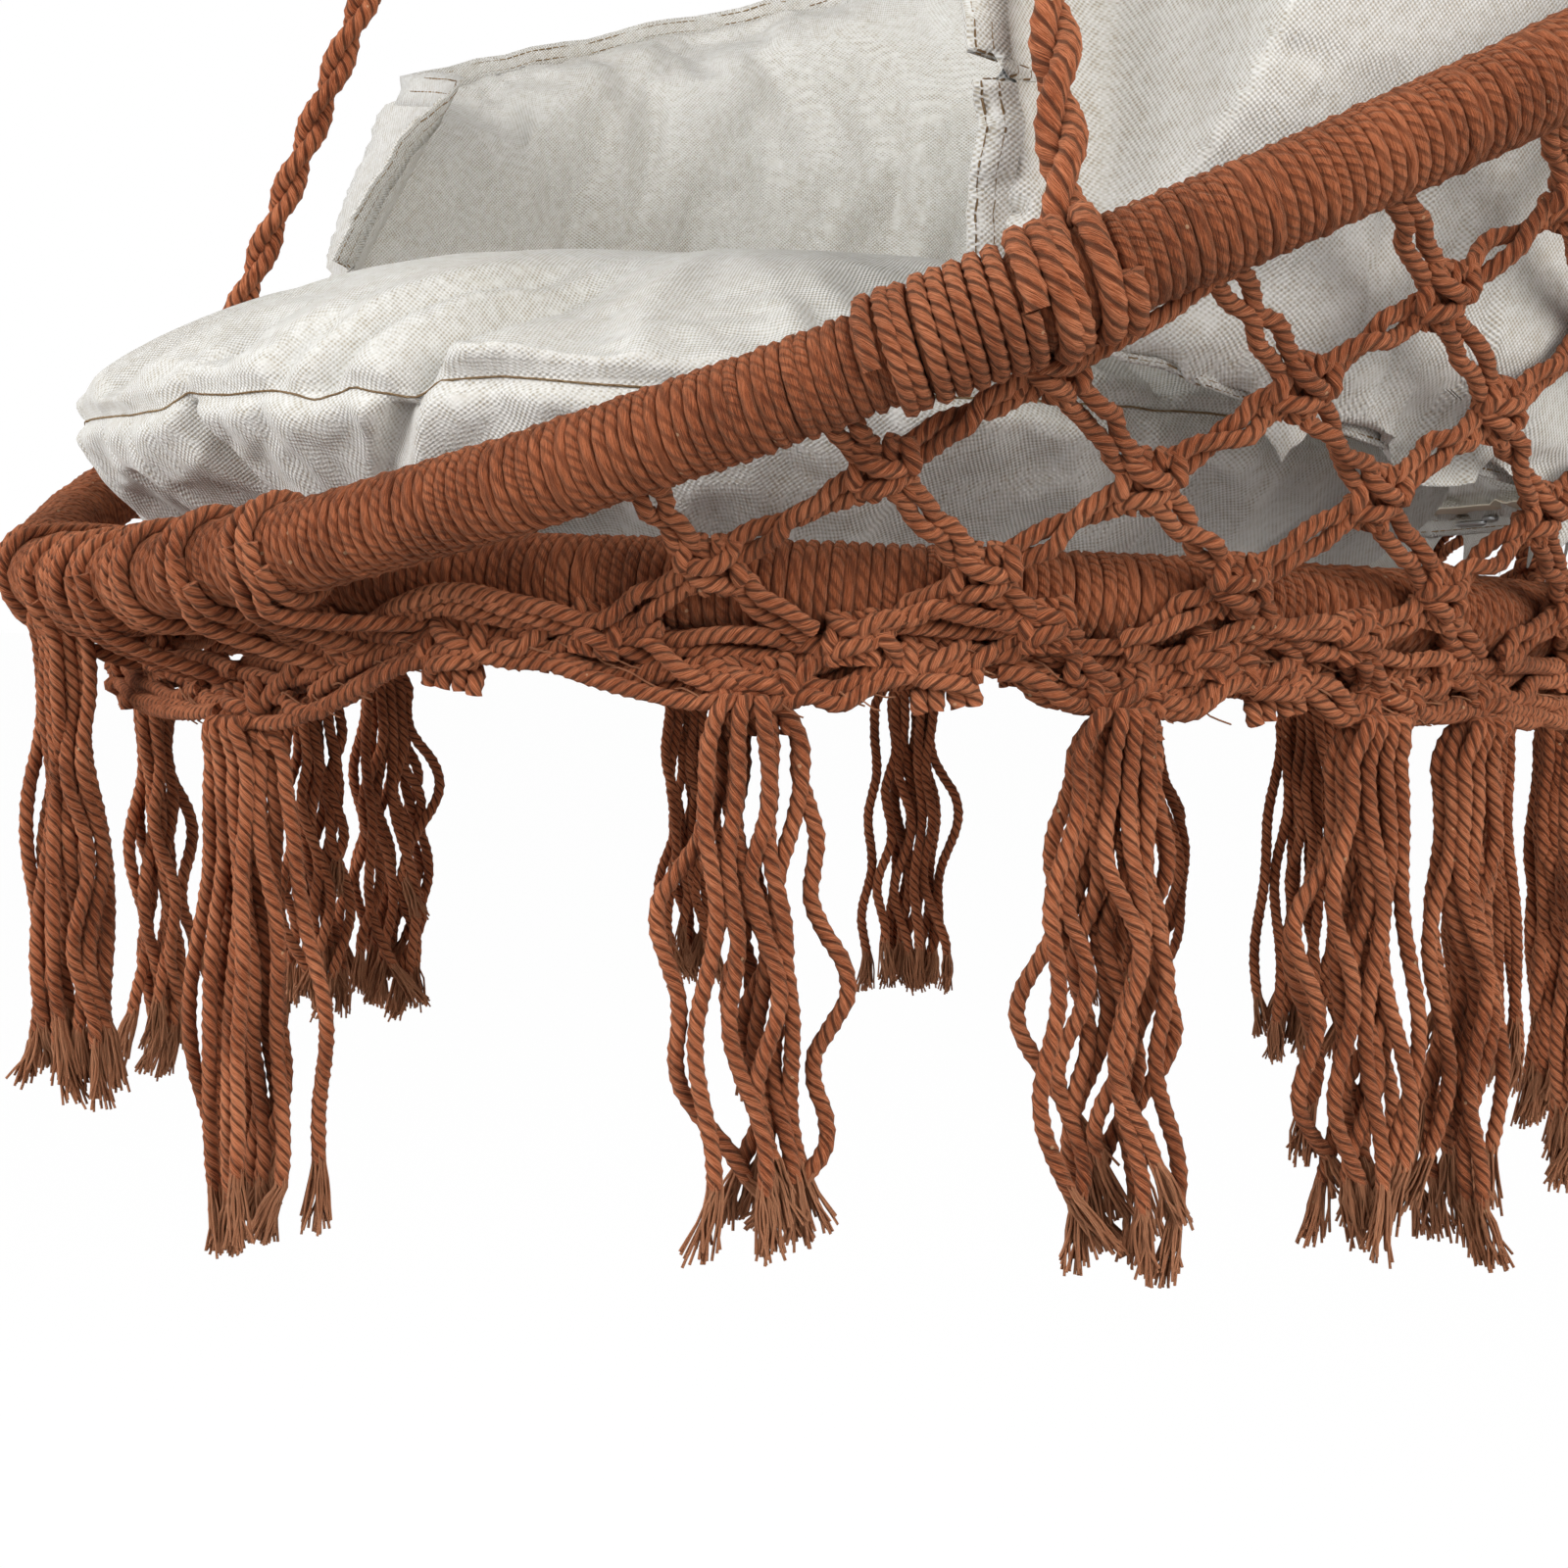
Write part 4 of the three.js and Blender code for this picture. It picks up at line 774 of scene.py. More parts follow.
# The loose yarns are painted paler than the laid cord: painted light that offsets the shade the thin yarns cast on one
# another.
combed_cotton_painted_paler = cotton("combed_terracotta_cotton_fibre", "#e6a57e", "#c98560", "#9a5a3a")
lint = lay_cord("fringe_band_torn_yarns", [[seat_to_row @ p for p in line] for line in torn], 0.0007, no_lay,
    combed_cotton_painted_paler, step=0.003, groove=0, sides=3)
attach(lint, "seat")


# ---- Front ties ----
# The net's front cords are taken round the back hoop in loose turns, and each end goes down
# behind them and on inside the fringe band.
rng = random.Random(6)
turns, ends = [], []
for k, deg in enumerate((-15, -4.5, 4.5, 14, 19.5)):
    a = radians(deg)
    turns.append(helix(on_back_bar, back_up, back_middle, wrap_width / 2 + 0.0012, 0.0053, back_radius, a - 0.014,
            a + 0.014, 20, "tie%d" % k, 0.7))
    for way in (1,) if k % 2 else (-1, 1):
        foot, flat = on_back_bar(a + way * 0.012), Vector((sin(a), -cos(a), 0))
        line = [foot + flat * 0.0165 + up_axis * 0.001, foot + flat * 0.0125 - up_axis * 0.012,
            foot + flat * 0.002 - up_axis * 0.021]
        for share in (0.045, 0.09, 0.15, 0.21):
            angle = a * back_radius / seat_radius + way * share * rng.uniform(0.9, 1.1)
            line.append(on_hem(angle, rng.uniform(-0.024, -0.02) - hem_drop(angle), -0.004 - 0.02 * share))
        ends.append(smooth_path([seat_to_row @ p for p in line], 0.002))
ties = lay_cord("front_net_ties", turns + ends, 0.0053, thin_lay, laid_cotton, step=thin_step)
seat_to_row @ (on_back_bar(0) - up_axis * 0.012)
seat_to_row @ (on_back_bar(0) - up_axis * 0.045)
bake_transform(ties)


# ---- Tassels ----
# The cords' ends hang from the band's lower knots, about a dozen together. Each is cut off by
# eye, and its last 20 mm have come untwisted into a brush of loose yarns.
tassel_length, tassel_cord = 0.172, 0.0051


def tassel(name, top, turn, seed, wide=1):
    """The strands and their frayed ends, as two meshes."""
    rng = random.Random(seed)
    strands, yarns = [], []
    count = rng.choice((11, 12, 13))
    slack = rng.uniform(0.5, 1.7)
    whole = tassel_length * rng.uniform(0.95, 1.03)
    along, out, down = Vector((cos(turn), sin(turn), 0)), Vector((sin(turn), -cos(turn), 0)), Vector((0, 0, -1))
    for k in range(count):
        layer = k % 3 - 1
        front = layer > 0
        row = (k // 3 + 0.5 + rng.uniform(-0.3, 0.3)) / ((count + 2) // 3) * 2 - 1
        start = along * row * 0.0175 * min(1, wide + 0.1) + out * (0.0045 * layer + 0.001)
        end = along * (row * 0.018 + rng.uniform(-0.009, 0.009)) * wide + out * (0.009 * layer + rng.uniform(-0.005,
                0.005)) * wide
        length = whole * (rng.uniform(0.9, 1.0) if k else rng.uniform(0.6, 0.95))
        wave, other, phase, bow = rng.uniform(0.0015, 0.005), rng.uniform(0.0015, 0.004), rng.uniform(0,
            tau), rng.uniform(-0.008, 0.014) * slack * wide
        long_wave = rng.uniform(0.055, 0.11)
        # They spread from inside the knot, those in front over its lowest cord.
        line = [top + start * 0.35 + Vector((0, 0, 0.004)),
            top + start * 0.7 + out * (0.0045 if front else 0) + Vector((0, 0, 0.0035 if front else 0))]
        for i in range(15):
            t = i / 14
            ease = t * t * (3 - 2 * t)
            sway = wave * sin(tau * t * length / long_wave + phase) + bow * sin(pi * t ** 1.2) * row
            off = start.lerp(end, ease) + (along * sway + out * other
                * cos(tau * t * length / long_wave * 0.8 + phase)) * min(1, t * 3)
            line.append(top + off + down * (0.008 + t * (length - 0.024)))
        line = smooth_path(line, 0.003)
        strands.append(line)
        tip, fall = line[-1], (line[-1] - line[-4]).normalized()
        lean = fall * 0.021 + (along * rng.uniform(-1, 1) + out * rng.uniform(-1, 1)) * 0.006
        spread = rng.uniform(0.7, 1.5)
        for _ in range(26):
            b, r = rng.uniform(0, tau), 0.0024 * sqrt(rng.random())
            at = (along * cos(b) + out * sin(b)) * r
            curl = Vector([rng.uniform(-1, 1) for _ in range(3)]) * 0.0014
            reach = rng.uniform(0.72, 1.0)
            yarns.append([tip - fall * 0.005 + at * 0.8] + [tip + lean * t * reach + at * (1 + spread * t ** 1.4)
                    + curl * sin(pi * t * 1.4) for t in (0, 0.25, 0.5, 0.75, 1)])
    body = lay_cord(name, strands, tassel_cord, thin_lay, laid_cotton, step=0.0019,
        ends=lambda n: [1] * (n - 3) + [0.95, 0.85, 0.7])
    fluff = lay_cord(name + "_fray", yarns, 0.00115, no_lay, combed_cotton_painted_paler, step=0.0045, groove=0, sides=3)
    return body, fluff


hung = [(a, "tassel_%02d" % (n + 1)) for n, a in enumerate(k for k, (_, has) in enumerate(hem_stations) if has)]
for k, node in hung:
    a, z = low_places[k]
    top = seat_to_row @ on_hem(a, z - 0.0055 - 0.0004)
    deg = round(a * 180 / pi, 1)
    if deg in (91.5, 101.8, 147):
        top -= Vector((cos(a), sin(a), 0)) * 0.007
    for part in tassel(node + "_strands", top, a, node, 0.4 if deg in (124, 147) else 1):
        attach(part, "seat")
        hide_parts(node)
front_a = asin(-0.030 / back_radius)
front_top = seat_to_row @ (on_back_hoop(front_a) - Vector((0, 0, 0.0144)))
for part in tassel("front_tassel_strands", front_top, 0, "front"):
    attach(part, "chair")
    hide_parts("front_tassel")


# ---- Seat cushion ----
# A round loose cushion in a coarse ecru cotton canvas over polyester fibre. Its cover is two
# discs sewn edge to edge, turned out and closed with a zip at the rear.
canvas, tree = material("ecru_plain_woven_cotton_canvas")
at = add(tree, "TexCoord").outputs["Object"]
facing = add(tree, "NewGeometry").outputs["Normal"]
# Plain weave of a heavy canvas, with threads 0.85 mm apart that pass over each other in turn.
thread = 0.00085
waves = add(tree, "VectorMath", {0: at, "Scale": pi / thread}, operation="SCALE")
split = add(tree, "SeparateXYZ", {0: waves})
sines = {c: calc(tree, "SINE", split.outputs[c]) for c in "XYZ"}
lie = add(tree, "SeparateXYZ", {0: add(tree, "VectorMath", {0: facing}, operation="ABSOLUTE")})
sharp = {c: calc(tree, "POWER", lie.outputs[c], 5.0) for c in "XYZ"}
total = calc(tree, "ADD", calc(tree, "ADD", sharp["X"], sharp["Y"]), sharp["Z"])
woven = None
for c, (p, q) in {"X": "YZ", "Y": "XZ", "Z": "XY"}.items():
    crossing = calc(tree, "MULTIPLY", sines[p], sines[q])
    part = calc(tree, "MULTIPLY", crossing, sharp[c])
    woven = part if woven is None else calc(tree, "ADD", woven, part)
weave = calc(tree, "DIVIDE", woven, total)
slub = add(tree, "TexNoise", {"Vector": at, "Scale": 260, "Detail": 3, "Roughness": 0.6})
cloud = add(tree, "TexNoise", {"Vector": at, "Scale": 14, "Detail": 2})
height = calc(tree, "MULTIPLY_ADD", slub, 0.35, weave)
# The colour is the canvas's own uneven tone from slubs and clouds, with painted shade where the weave dips between its
# threads.
tint = calc(tree, "MULTIPLY_ADD", weave, 0.16, calc(tree, "MULTIPLY_ADD", slub, 0.32,
        calc(tree, "MULTIPLY", cloud, 0.13)))
undyed = ramp(tree, tint, (0.08, "#b2a897"), (0.36, "#e2e1de"), (0.2, "#d2d0ca"))
bump = add(tree, "Bump", {"Height": height, "Strength": 0.7, "Distance": 0.00035})
shader = add(tree, "BsdfPrincipled", {
    "Base Color": undyed.outputs[0], "Roughness": 0.88, "IOR": 1.45, "Specular IOR Level": 0.25,
    "Sheen Weight": 0.15, "Sheen Roughness": 0.5, "Normal": bump,
})
add(tree, "OutputMaterial", {"Surface": shader})


def closed_form(name, surface, around, across):
    """A closed mesh over a surface given by its turn and its way from pole to pole."""
    points = [surface(0, 0.0001)] + [surface(i / around, j / across) for j in range(1, across)
        for i in range(around)] + [surface(0, 0.9999)]
    faces = []
    for i in range(around):
        n = (i + 1) % around
        faces.append((0, 1 + i, 1 + n))
        for j in range(across - 2):
            k = 1 + j * around
            faces.append((k + i, k + around + i, k + around + n, k + n))
        k = 1 + (across - 2) * around
        faces.append((k + i, len(points) - 1, k + n))
    return form(name, [seat_to_row @ p for p in points], faces)


def swell(obj, voxel, pressure, grow, limit, held_at, frames=20):
    """Stuffs a cover: an even mesh of it is blown up by cloth simulation, with some cloth to
    spare and its seam held, and no point goes much further than limit."""
    even = obj.modifiers.new("even", "REMESH")
    even.mode, even.voxel_size = "VOXEL", voxel
    obj = plain_mesh(obj)
    start = [v.co.copy() for v in obj.data.vertices]
    obj.vertex_groups.new(name="seam").add([i for i, p in enumerate(start) if held_at(seat_inverse @ p)], 1,
        "REPLACE")
    cloth = obj.modifiers.new("cloth", "CLOTH")
    stuff = cloth.settings
    stuff.quality, stuff.mass = 6, 0.35
    stuff.tension_stiffness = stuff.compression_stiffness = 25
    stuff.shear_stiffness, stuff.bending_stiffness = 8, 0.6
    stuff.use_pressure, stuff.uniform_pressure_force = True, pressure
    stuff.shrink_min = stuff.shrink_max = -grow
    stuff.vertex_group_mass = "seam"
    stuff.effector_weights.gravity = 0
    cloth.point_cache.frame_end = frames
    for f in range(1, frames + 1):
        bpy.context.scene.frame_set(f)
    obj = plain_mesh(obj)
    bpy.context.scene.frame_set(1)
    for vertex, p in zip(obj.data.vertices, start):
        step = vertex.co - p
        if step.length > 1e-6:
            vertex.co = p + step * (limit * tanh(step.length / limit) / step.length)
    finer = obj.modifiers.new("finer", "SUBSURF")
    finer.levels = finer.render_levels = 1
    return plain_mesh(obj)


def keep_clear(obj, corrected):
    """Moves each point of a cushion in the seat's frame to where a rule puts it."""
    for vertex in obj.data.vertices:
        vertex.co = seat_to_row @ corrected(seat_inverse @ vertex.co)
    obj.data.shade_smooth()
    obj.data.materials.clear()
    obj.data.materials.append(canvas)


def out_of_hoop(p, hoop_middle, normal, radius, room):
    """The point, moved out of a hoop's wrap if it lies in it."""
    off = p - hoop_middle
    above = off.dot(normal)
    flat = off - normal * above
    ring = hoop_middle + flat.normalized() * radius
    gap = p - ring
    return ring + gap.normalized() * (wrap_width / 2 + room) if gap.length < wrap_width / 2 + room else p


cushion_middle, cushion_seam, seam_round = Vector((0, -0.046, 0)), 0.058, 0.268
cushion_half, cushion_rise, cushion_fall = (0.270, 0.272), 0.05, 0.055


def on_seat_cushion(u, v):
    a, level = tau * u, cos(pi * v)
    rim = sin(pi * v) ** (0.8 if level > 0 else 0.42)
    rise = cushion_rise if level > 0 else -cushion_fall
    return Vector((cushion_half[0] * rim * sin(a), -cushion_half[1] * rim * cos(a),
            cushion_seam + rise * abs(level) ** 0.9)) + cushion_middle


def on_seat_seam(p):
    return abs(p.z - cushion_seam) < 0.004 and (p - cushion_middle).xy.length > 0.25


def fold_depth(folds, place, far, above, round_length):
    """How deep the folds that run in from a seam are at a place along it and a distance from it."""
    depth = 0
    for at, side, deep, wide, reach, lean in folds:
        if side == above:
            off = place - at - lean * far
            off = ((off + round_length / 2) % round_length - round_length / 2) / wide
            if abs(off) < 3.5:
                depth += deep * (1 - 0.8 * off * off) * exp(-off * off) * min(1, far / 0.006) * exp(-(far / reach) ** 2)
    return depth


# Folds by their place along the seam, side, depth, half width, reach and slant: first those at
# the front that the eye finds, then others all round.
seat_folds = [(radians(deg) * seam_round, side, deep, wide, reach, lean) for deg, side, deep, wide, reach, lean in (
    (12, -1, 0.0105, 0.0075, 0.08, 0.28), (33.4, -1, 0.014, 0.0088, 0.05, -0.45), (33.8, 1, 0.0135, 0.0095, 0.06, 0.4),
    (25.6, 1, 0.0095, 0.01, 0.08, 0.6), (40, 1, -0.004, 0.02, 0.05, 0.2), (22, 1, 0.0035, 0.007, 0.035, 0.35),
    (11.7, 1, 0.004, 0.006, 0.03, 0.3),
    (3, -1, 0.0028, 0.004, 0.08, 0.3), (-4, -1, 0.003, 0.0045, 0.08, 0.25), (-11, -1, 0.0025, 0.004, 0.07, 0.2),
    (7, -1, 0.002, 0.0035, 0.06, 0.3), (20, -1, 0.0025, 0.006, 0.05, 0.3),
)]
rng = random.Random(21)
for k in range(44):
    seat_folds.append((radians(55 + k * 6.5 + rng.uniform(-3, 3)) * seam_round, k % 2 * 2 - 1,
            rng.uniform(0.001, 0.006), rng.uniform(0.005, 0.011), rng.uniform(0.03, 0.08), rng.uniform(-0.5, 0.5)))
seam_marks = [(-180, 1), (-120, -2), (-70, 1.5), (-30, -1), (-16, -2), (3, -5), (9, -4.5), (11.7, 0), (17, -1.4),
    (22, -0.6), (25.7, -4), (29, -0.5), (33.4, -4.5), (35.5, 1), (40.3, 2.5), (46, 0.5), (52, -0.8), (90, 2),
    (120, -1.5), (180, 1)]


def seam_lift(deg):
    """How far the seam lies off its plane, where the filling has pushed or the folds have pulled."""
    for (low, first), (high, last) in zip(seam_marks, seam_marks[1:]):
        if low <= deg <= high:
            return (first + (last - first) * (deg - low) / (high - low)) / 1000
    return 0


def settled_seat(p):
    """The folds and the seam's groove, and what lies on the hoop and the net can't go lower."""
    off = p - cushion_middle - Vector((0, 0, cushion_seam))
    flat = hypot(off.x, off.y)
    a = atan2(off.x, -off.y)
    rim = 1 / sqrt((sin(a) / cushion_half[0]) ** 2 + (cos(a) / cushion_half[1]) ** 2)
    far = hypot(flat - rim, off.z)
    normal = Vector((off.x / cushion_half[0] ** 2, off.y / cushion_half[1] ** 2,
            off.z / cushion_fall ** 2)).normalized()
    p = p - normal * fold_depth(seat_folds, a * seam_round, far, 1 if off.z > 0 else -1, tau * seam_round)
    p = p - Vector((off.x, off.y, 0)) * (0.0055 * exp(-(far / 0.0042) ** 2) / max(flat, 1e-6))
    p.z += seam_lift(a * 180 / pi) * exp(-(far / 0.028) ** 2)
    p = out_of_hoop(p, Vector((0, 0, 0)), up_axis, seat_radius, 0.001)
    net = on_seat_net(p.x, p.y).z + net_cord
    return Vector((p.x, p.y, net - 0.003 + 0.003 * exp((p.z - net) / 0.003))) if p.z < net else p


seat_cushion = swell(closed_form("seat_cushion_canvas", on_seat_cushion, 96, 40), 0.006, 4, 0.05, 0.017, on_seat_seam)
keep_clear(seat_cushion, settled_seat)
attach(seat_cushion, "seat_cushion")
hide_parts("seat_cushion_cover", "seat_cushion_filling")


def on_surface(obj, p, out=0):
    """The nearest place on a finished cushion, that far out of it, and the way out."""
    _, near, normal, _ = obj.closest_point_on_mesh(p)
    return near + normal * out, normal


# The seam's thread pulls the two discs together.
sewing_thread = cotton("tan_cotton_sewing_thread", "#cdb893", "#ab916a", "#6d583d")
seam_points = [on_surface(seat_cushion, seat_to_row @ settled_seat(on_seat_cushion(i / 500, 0.5)), 0.0001)[0]
    for i in range(501)]
seam_thread = lay_cord("seat_cushion_seam_thread", [seam_points], 0.0008, 0.004, sewing_thread, step=0.003, sides=5)
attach(seam_thread, "seat_cushion")


# A nylon coil zip of 5 mm, whose tape is sewn in along the seam.
zip_tape = cotton("ecru_polyester_zip_tape", "#dcd6c8", "#cfc7b6", "#a89f8d")


def zipped(name, path, outs, body, node):
    """A zip along points with their ways out: tape, coil, slider and its puller."""
    pieces = []
    ups = [(b - a).normalized().cross(out) for a, b, out in zip(path, path[1:] + path[-1:], outs)]
    ups[-1] = ups[-2]
    points = [p + up * w + out * o for p, up, out in zip(path, ups, outs) for w,
        o in ((-0.013, 0.0004), (0.013, 0.0004), (0.013, 0.0011), (-0.013, 0.0011))]
    last = len(points) - 4
    faces = [(3, 2, 1, 0), tuple(last + k for k in range(4))]
    faces += [(i + k, i + (k + 1) % 4, i + 4 + (k + 1) % 4, i + 4 + k) for i in range(0, last, 4) for k in range(4)]
    tape = form(name + "_tape", points, faces, zip_tape, smooth=False)
    coil = lay_cord(name + "_coil", [[p + out * 0.0016 for p, out in zip(path, outs)]], 0.0042, 0.0036, zip_tape,
        step=0.001, groove=0.25, sides=8)
    k = len(path) // 6
    at, up, out = path[k], ups[k], outs[k]
    on = (path[k + 1] - at).normalized()
    slide = smooth_path([at + out * 0.0045 + on * x + up * y for x,
            y in ((-0.005, 0), (-0.003, 0.0035), (0.004, 0.003), (0.005, 0), (0.004, -0.003), (-0.003, -0.0035),
            (-0.005, 0))], 0.001)
    pull = smooth_path([at + out * 0.006 + on * x + up * y for x,
            y in ((0.004, 0), (0.006, 0.0025), (0.022, 0.003), (0.026, 0), (0.022, -0.003), (0.006, -0.0025),
            (0.004, 0))], 0.001)
    slider = lay_cord(name + "_slider", [slide, pull], 0.0022, no_lay, zinc, step=0.0012, groove=0, sides=8)
    for piece in (tape, coil, slider):
        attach(piece, body)
        pieces.append(piece)
    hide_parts(node)
    return pieces


path, outs = zip(*[on_surface(seat_cushion, seat_to_row @ settled_seat(on_seat_cushion(0.42 + 0.16 * i / 80, 0.5)),
        0.0004) for i in range(81)])
outs = [(seat_to_row.to_3x3() @ Vector((sin(tau * (0.42 + 0.16 * i / 80)), -cos(tau * (0.42 + 0.16 * i / 80)), 0)))
    for i in range(81)]
zipped("seat_cushion_zip", list(path), outs, "seat_cushion", "seat_cushion_zip")


# ---- Back cushion ----
# A long loose pad of the same canvas and fibre, bent round inside the net. Its cover is sewn
# with a flat flange and two rows of stitching, and closed with a zip in its lower edge.
back_top = on_back_hoop(pi)
back_bottom_radius, back_top_radius = seat_radius + 0.022, back_top.y - 0.029
pad_foot, arm_height = 0.056, 0.18
back_rise = back_top.z + 0.028 - arm_height


def on_back_cushion(u, v, thin=0.62):
    turn, edge = tau * u, sin(pi * v) ** 0.7
    x, y = cos(turn) * 0.45, sin(turn)
    corner = (abs(x) ** 8 + abs(y) ** 8) ** (-1 / 8)
    across, upward = x * corner * edge, y * corner * edge
    a = pi + across * (pi - radians(62.5))
    high = arm_height + back_rise * (1 - cos(a)) / 2
    level, depth = (1 + upward) / 2, cos(pi * v)
    radius = back_bottom_radius + (back_top_radius - back_bottom_radius) * level + (depth * 0.007 if depth > 0
        else depth * 0.096 * thin)
    sag = 0.08 * sin(tau * v) ** 2 * max(0, -upward) ** 2 if depth > 0 else 0
    return Vector((radius * sin(a), -radius * cos(a), pad_foot + (high - pad_foot) * level - sag))


seam_count = 400
back_seam = [on_back_cushion(i / seam_count, 0.5) for i in range(seam_count)]
seam_length = sum((b - a).length for a, b in zip(back_seam, back_seam[1:] + back_seam[:1]))
seam_tree = kdtree.KDTree(seam_count)
for i, p in enumerate(back_seam):
    seam_tree.insert(p, i)
seam_tree.balance()
rng = random.Random(8)
back_folds = [(seam_length * (k + rng.uniform(-0.4, 0.4)) / 70, k % 2 * 2 - 1, rng.uniform(0.002, 0.008),
        rng.uniform(0.006, 0.013), rng.uniform(0.03, 0.1), rng.uniform(-0.6, 0.6)) for k in range(70)]
edge_marks = [(0, 0), (60, 4), (65, 7), (69, 8), (74, 8), (78, 7), (84, 4), (90, 2), (104, 0), (120, -3), (150, 2),
    (180, 0)]


def edge_lift(deg):
    """How far the pad's lower edge has been pushed up, or hangs."""
    for (low, first), (high, last) in zip(edge_marks, edge_marks[1:]):
        if low <= abs(deg) <= high:
            return (first + (last - first) * (abs(deg) - low) / (high - low)) / 1000
    return 0


# The ropes' lines in the pad's frame, while the seat is folded up and the cushions are lifted.
hinge = seat_to_row @ on_back_hoop(0).lerp(on_seat_hoop(0), 0.5)
passing = []
for fold in (0, 3, 6):
    undo = seat_inverse @ Matrix.Translation(hinge) @ Matrix.Rotation(radians(-fold), 4,
        "X") @ Matrix.Translation(-hinge)
    for lift in (0, 0.013, 0.026):
        passing += [(undo @ low - up_axis * lift, undo @ high - up_axis * lift) for low, high in rope_legs]


def inside_ropes(p):
    """The pad keeps inside the ropes, which dent it where they come by."""
    for low, high in passing:
        if p.x * low.x > 0 and (p.y > 0.05) == (low.y > 0.05) and p.z > low.z - 0.01:
            rope = low.lerp(high, (p.z - low.z) / (high.z - low.z))
            out = Vector((rope.x, rope.y, 0)).normalized()
            off = p - rope
            over = off.dot(out) - (out.cross(off).z ** 2 / 0.03 - 0.0105)
            if over > 0:
                p = p - out * over
    return p


def settled_back(p):
    """The folds, and the pad bulges out only as far as the net, hoops and ropes let it."""
    _, nearest, far = seam_tree.find(p)
    a, flat = atan2(p.x, -p.y), hypot(p.x, p.y)
    level = min(1, max(0, (p.z - pad_foot) / 0.3))
    outer = flat > back_bottom_radius + (back_top_radius - back_bottom_radius) * level
    depth = fold_depth(back_folds, seam_length * nearest / seam_count, far, 1 if outer else -1, seam_length)
    flat_way = Vector((p.x, p.y, 0)) / flat
    p = p - flat_way * (depth if outer else -depth)
    p.z += edge_lift(a * 180 / pi) * exp(-((p.z - pad_foot) / 0.035) ** 2)
    p = out_of_hoop(p, back_middle, back_up, back_radius, 0.001)
    a, flat = atan2(p.x, -p.y), hypot(p.x, p.y)
    # Below, it lies on the seat hoop.
    low = sqrt(max(0, (wrap_width / 2 + 0.001) ** 2 - (flat - seat_radius) ** 2))
    p.z = low + 0.004 * exp((p.z - low) / 0.004 - 1) if p.z < low + 0.004 else p.z
    # It can be lifted straight up inside the back hoop.
    turn = atan2(p.x, (back_middle.y - p.y) / cos(back_tilt))
    hoop, off = on_back_hoop(turn), (p - back_middle).xy
    most = (hoop - back_middle).xy.length - wrap_width / 2 - 0.001
    if p.z < hoop.z and off.length > most:
        p.xy = back_middle.xy + off * (most / off.length)
    a, flat = atan2(p.x, -p.y), hypot(p.x, p.y)
    if 0 < p.z < on_back_hoop(a).z:
        net = on_net(a, p.z)
        most = hypot(net.x, net.y) - net_cord - 0.001
        if flat > most:
            p = Vector((p.x * most / flat, p.y * most / flat, p.z))
    return inside_ropes(p)


def on_back_seam(p):
    return seam_tree.find(p)[2] < 0.007


back_cushion = swell(closed_form("back_cushion_canvas", on_back_cushion, 200, 40), 0.0075, 4, 0.06, 0.035, on_back_seam)
keep_clear(back_cushion, settled_back)

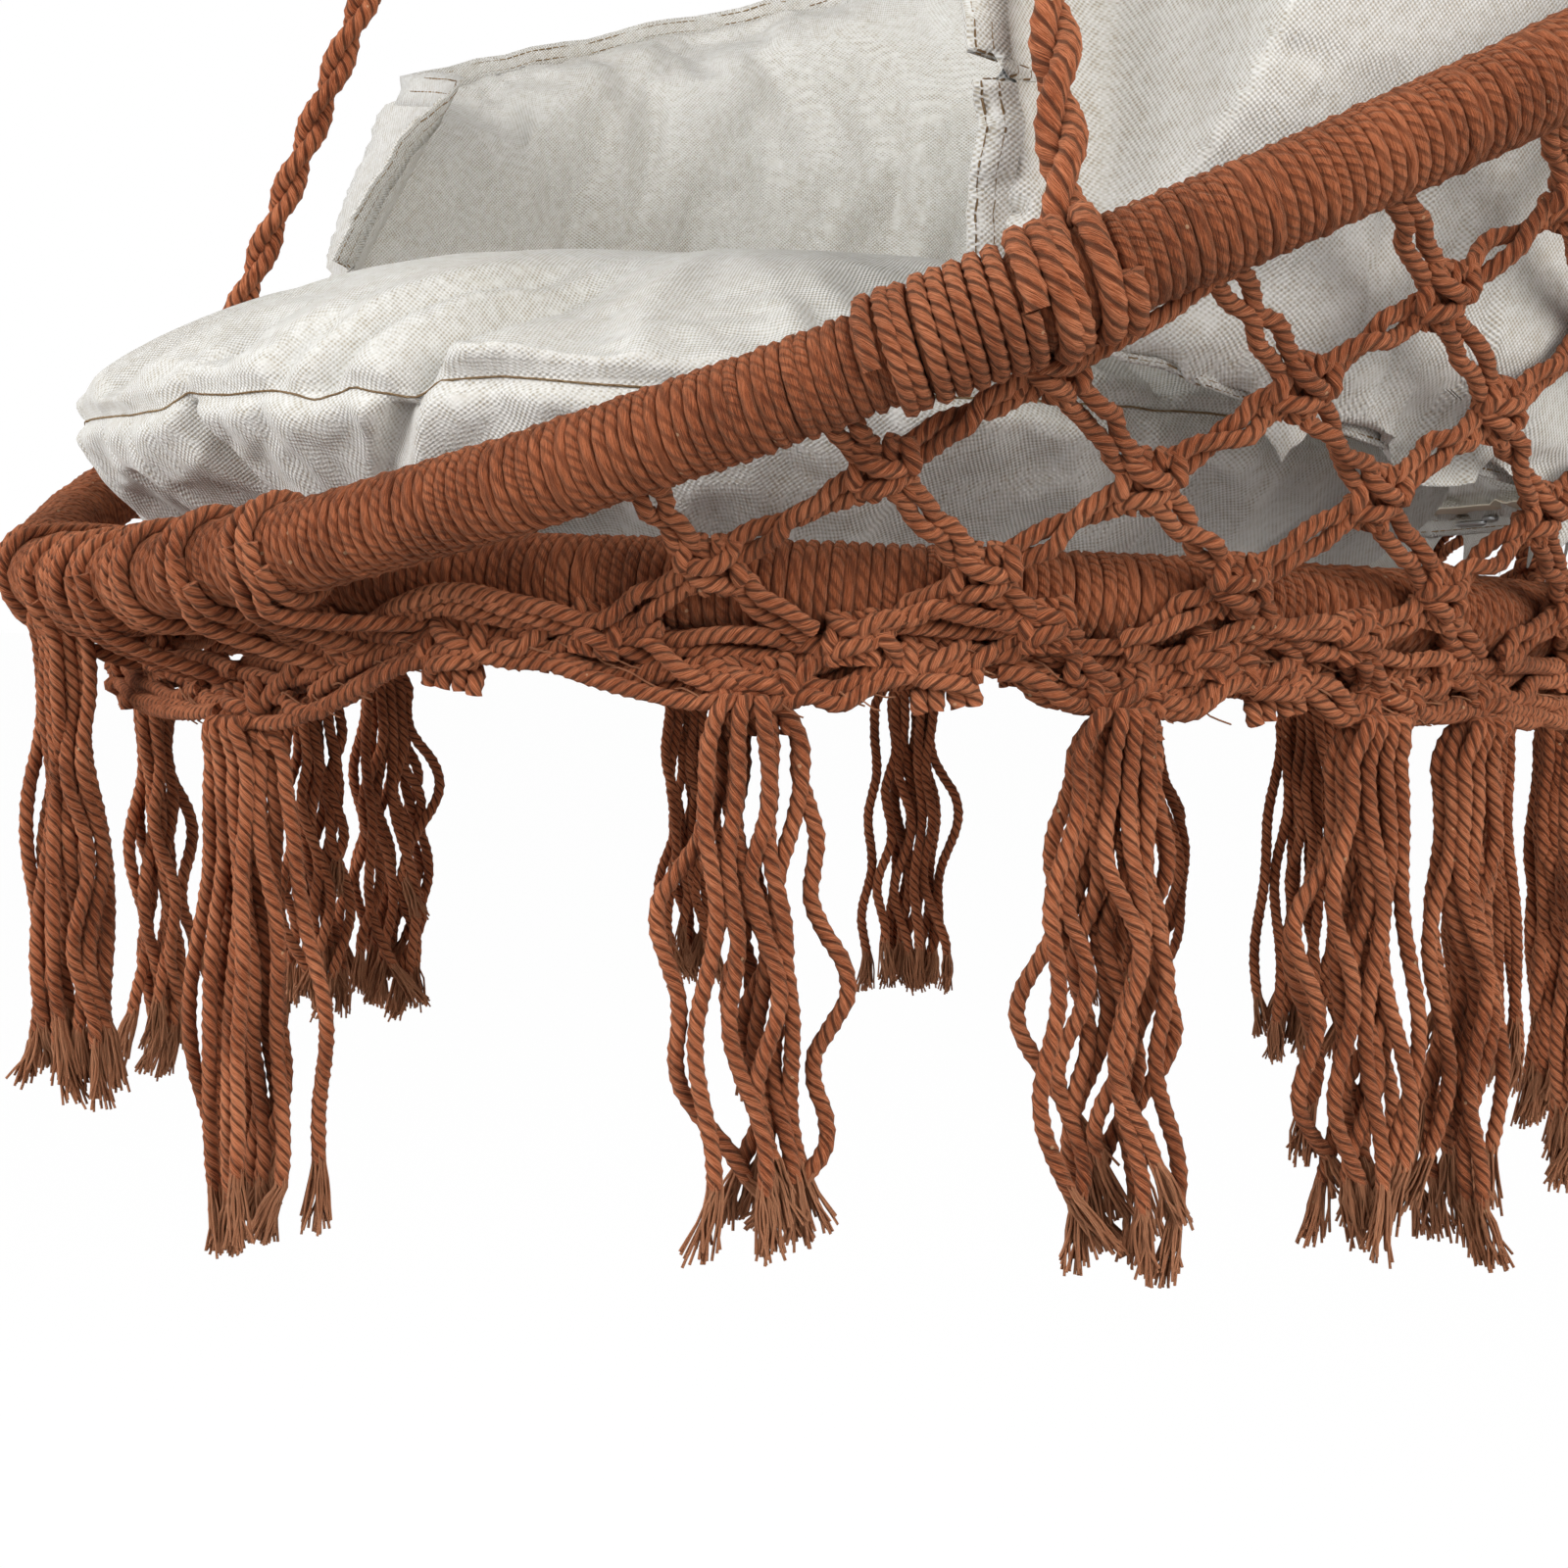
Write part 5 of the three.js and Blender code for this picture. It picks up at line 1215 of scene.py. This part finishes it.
# The flange stands out all along the seam, flat in the pad's own plane and wavy at its edge.
roots, tips, rows, gone = [], [], ([], []), 0
for i in range(seam_count):
    p = back_seam[i]
    on = (back_seam[(i + 1) % seam_count] - back_seam[i - 1]).normalized()
    flat_way = Vector((p.x, p.y, 0)).normalized()
    away = on.cross(flat_way)
    away = (away if away.dot(p - Vector((0, 0, 0.15))) > 0 or abs(away.z) > 0.5 and away.z * (p.z - 0.15) > 0
        else -away).normalized()
    gone += (p - back_seam[i - 1]).length
    wave = 0.0022 * sin(gone * 75) * sin(gone * 17 + 1) + 0.001 * sin(gone * 160)
    root = on_surface(back_cushion, seat_to_row @ settled_back(p + away * 0.002))[0]
    tip = seat_to_row @ settled_back(seat_inverse @ root + away * 0.0105 + flat_way * wave)
    roots.append(root - (tip - root) * 0.25)
    tips.append(tip)
points = []
for i, (root, tip) in enumerate(zip(roots, tips)):
    on = (roots[(i + 1) % seam_count] - roots[i - 1]).normalized()
    thick = on.cross(tip - root).normalized() * 0.0009
    for share, side in ((0, -1), (0.5, -1.15), (1, -1), (1, 1), (0.5, 1.15), (0, 1)):
        points.append(root.lerp(tip, share) + thick * side)
    for row, share in zip(rows, (0.42, 0.82)):
        row.append((root.lerp(tip, share), thick))
faces = []
for i in range(seam_count):
    k, n = i * 6, (i + 1) % seam_count * 6
    faces += [(k + j, k + (j + 1) % 6, n + (j + 1) % 6, n + j) for j in range(6)]
flange = form("back_cushion_flange", points, faces, canvas)

# Lock stitches 3.3 mm long, drawn a little into the canvas at each end, on both its faces.
stitches = []
for row in rows:
    gone, last = 0.0, None
    for i in range(seam_count):
        (a, thick), (b, _) = row[i], row[(i + 1) % seam_count]
        count = max(1, round((b - a).length / 0.0042))
        for k in range(count):
            start, end = a.lerp(b, (k + 0.12) / count), a.lerp(b, (k + 0.88) / count)
            for side in (-1.1, 1.1):
                stitches.append([start + thick * side * 0.7, start.lerp(end, 0.5) + thick * side * 1.25,
                        end + thick * side * 0.7])
stitching = lay_cord("back_cushion_stitching", stitches, 0.0009, no_lay, sewing_thread, step=0.0025, groove=0, sides=4)

lower = [i for i in range(seam_count) if 0.68 < i / seam_count < 0.82]
path = [on_surface(back_cushion, roots[i], 0.0004)[0] for i in lower]
outs = [(tips[i] - roots[i]).normalized() for i in lower]
zipped_pieces = zipped("back_cushion_zip", [p + out * 0.002 for p, out in zip(path, outs)], outs, "back_cushion",
    "back_cushion_zip")
for piece in (back_cushion, flange, stitching):
    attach(piece, "back_cushion")
for piece in (back_cushion, flange, stitching, *zipped_pieces):
    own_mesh(piece)
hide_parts("back_cushion_cover", "back_cushion_filling")
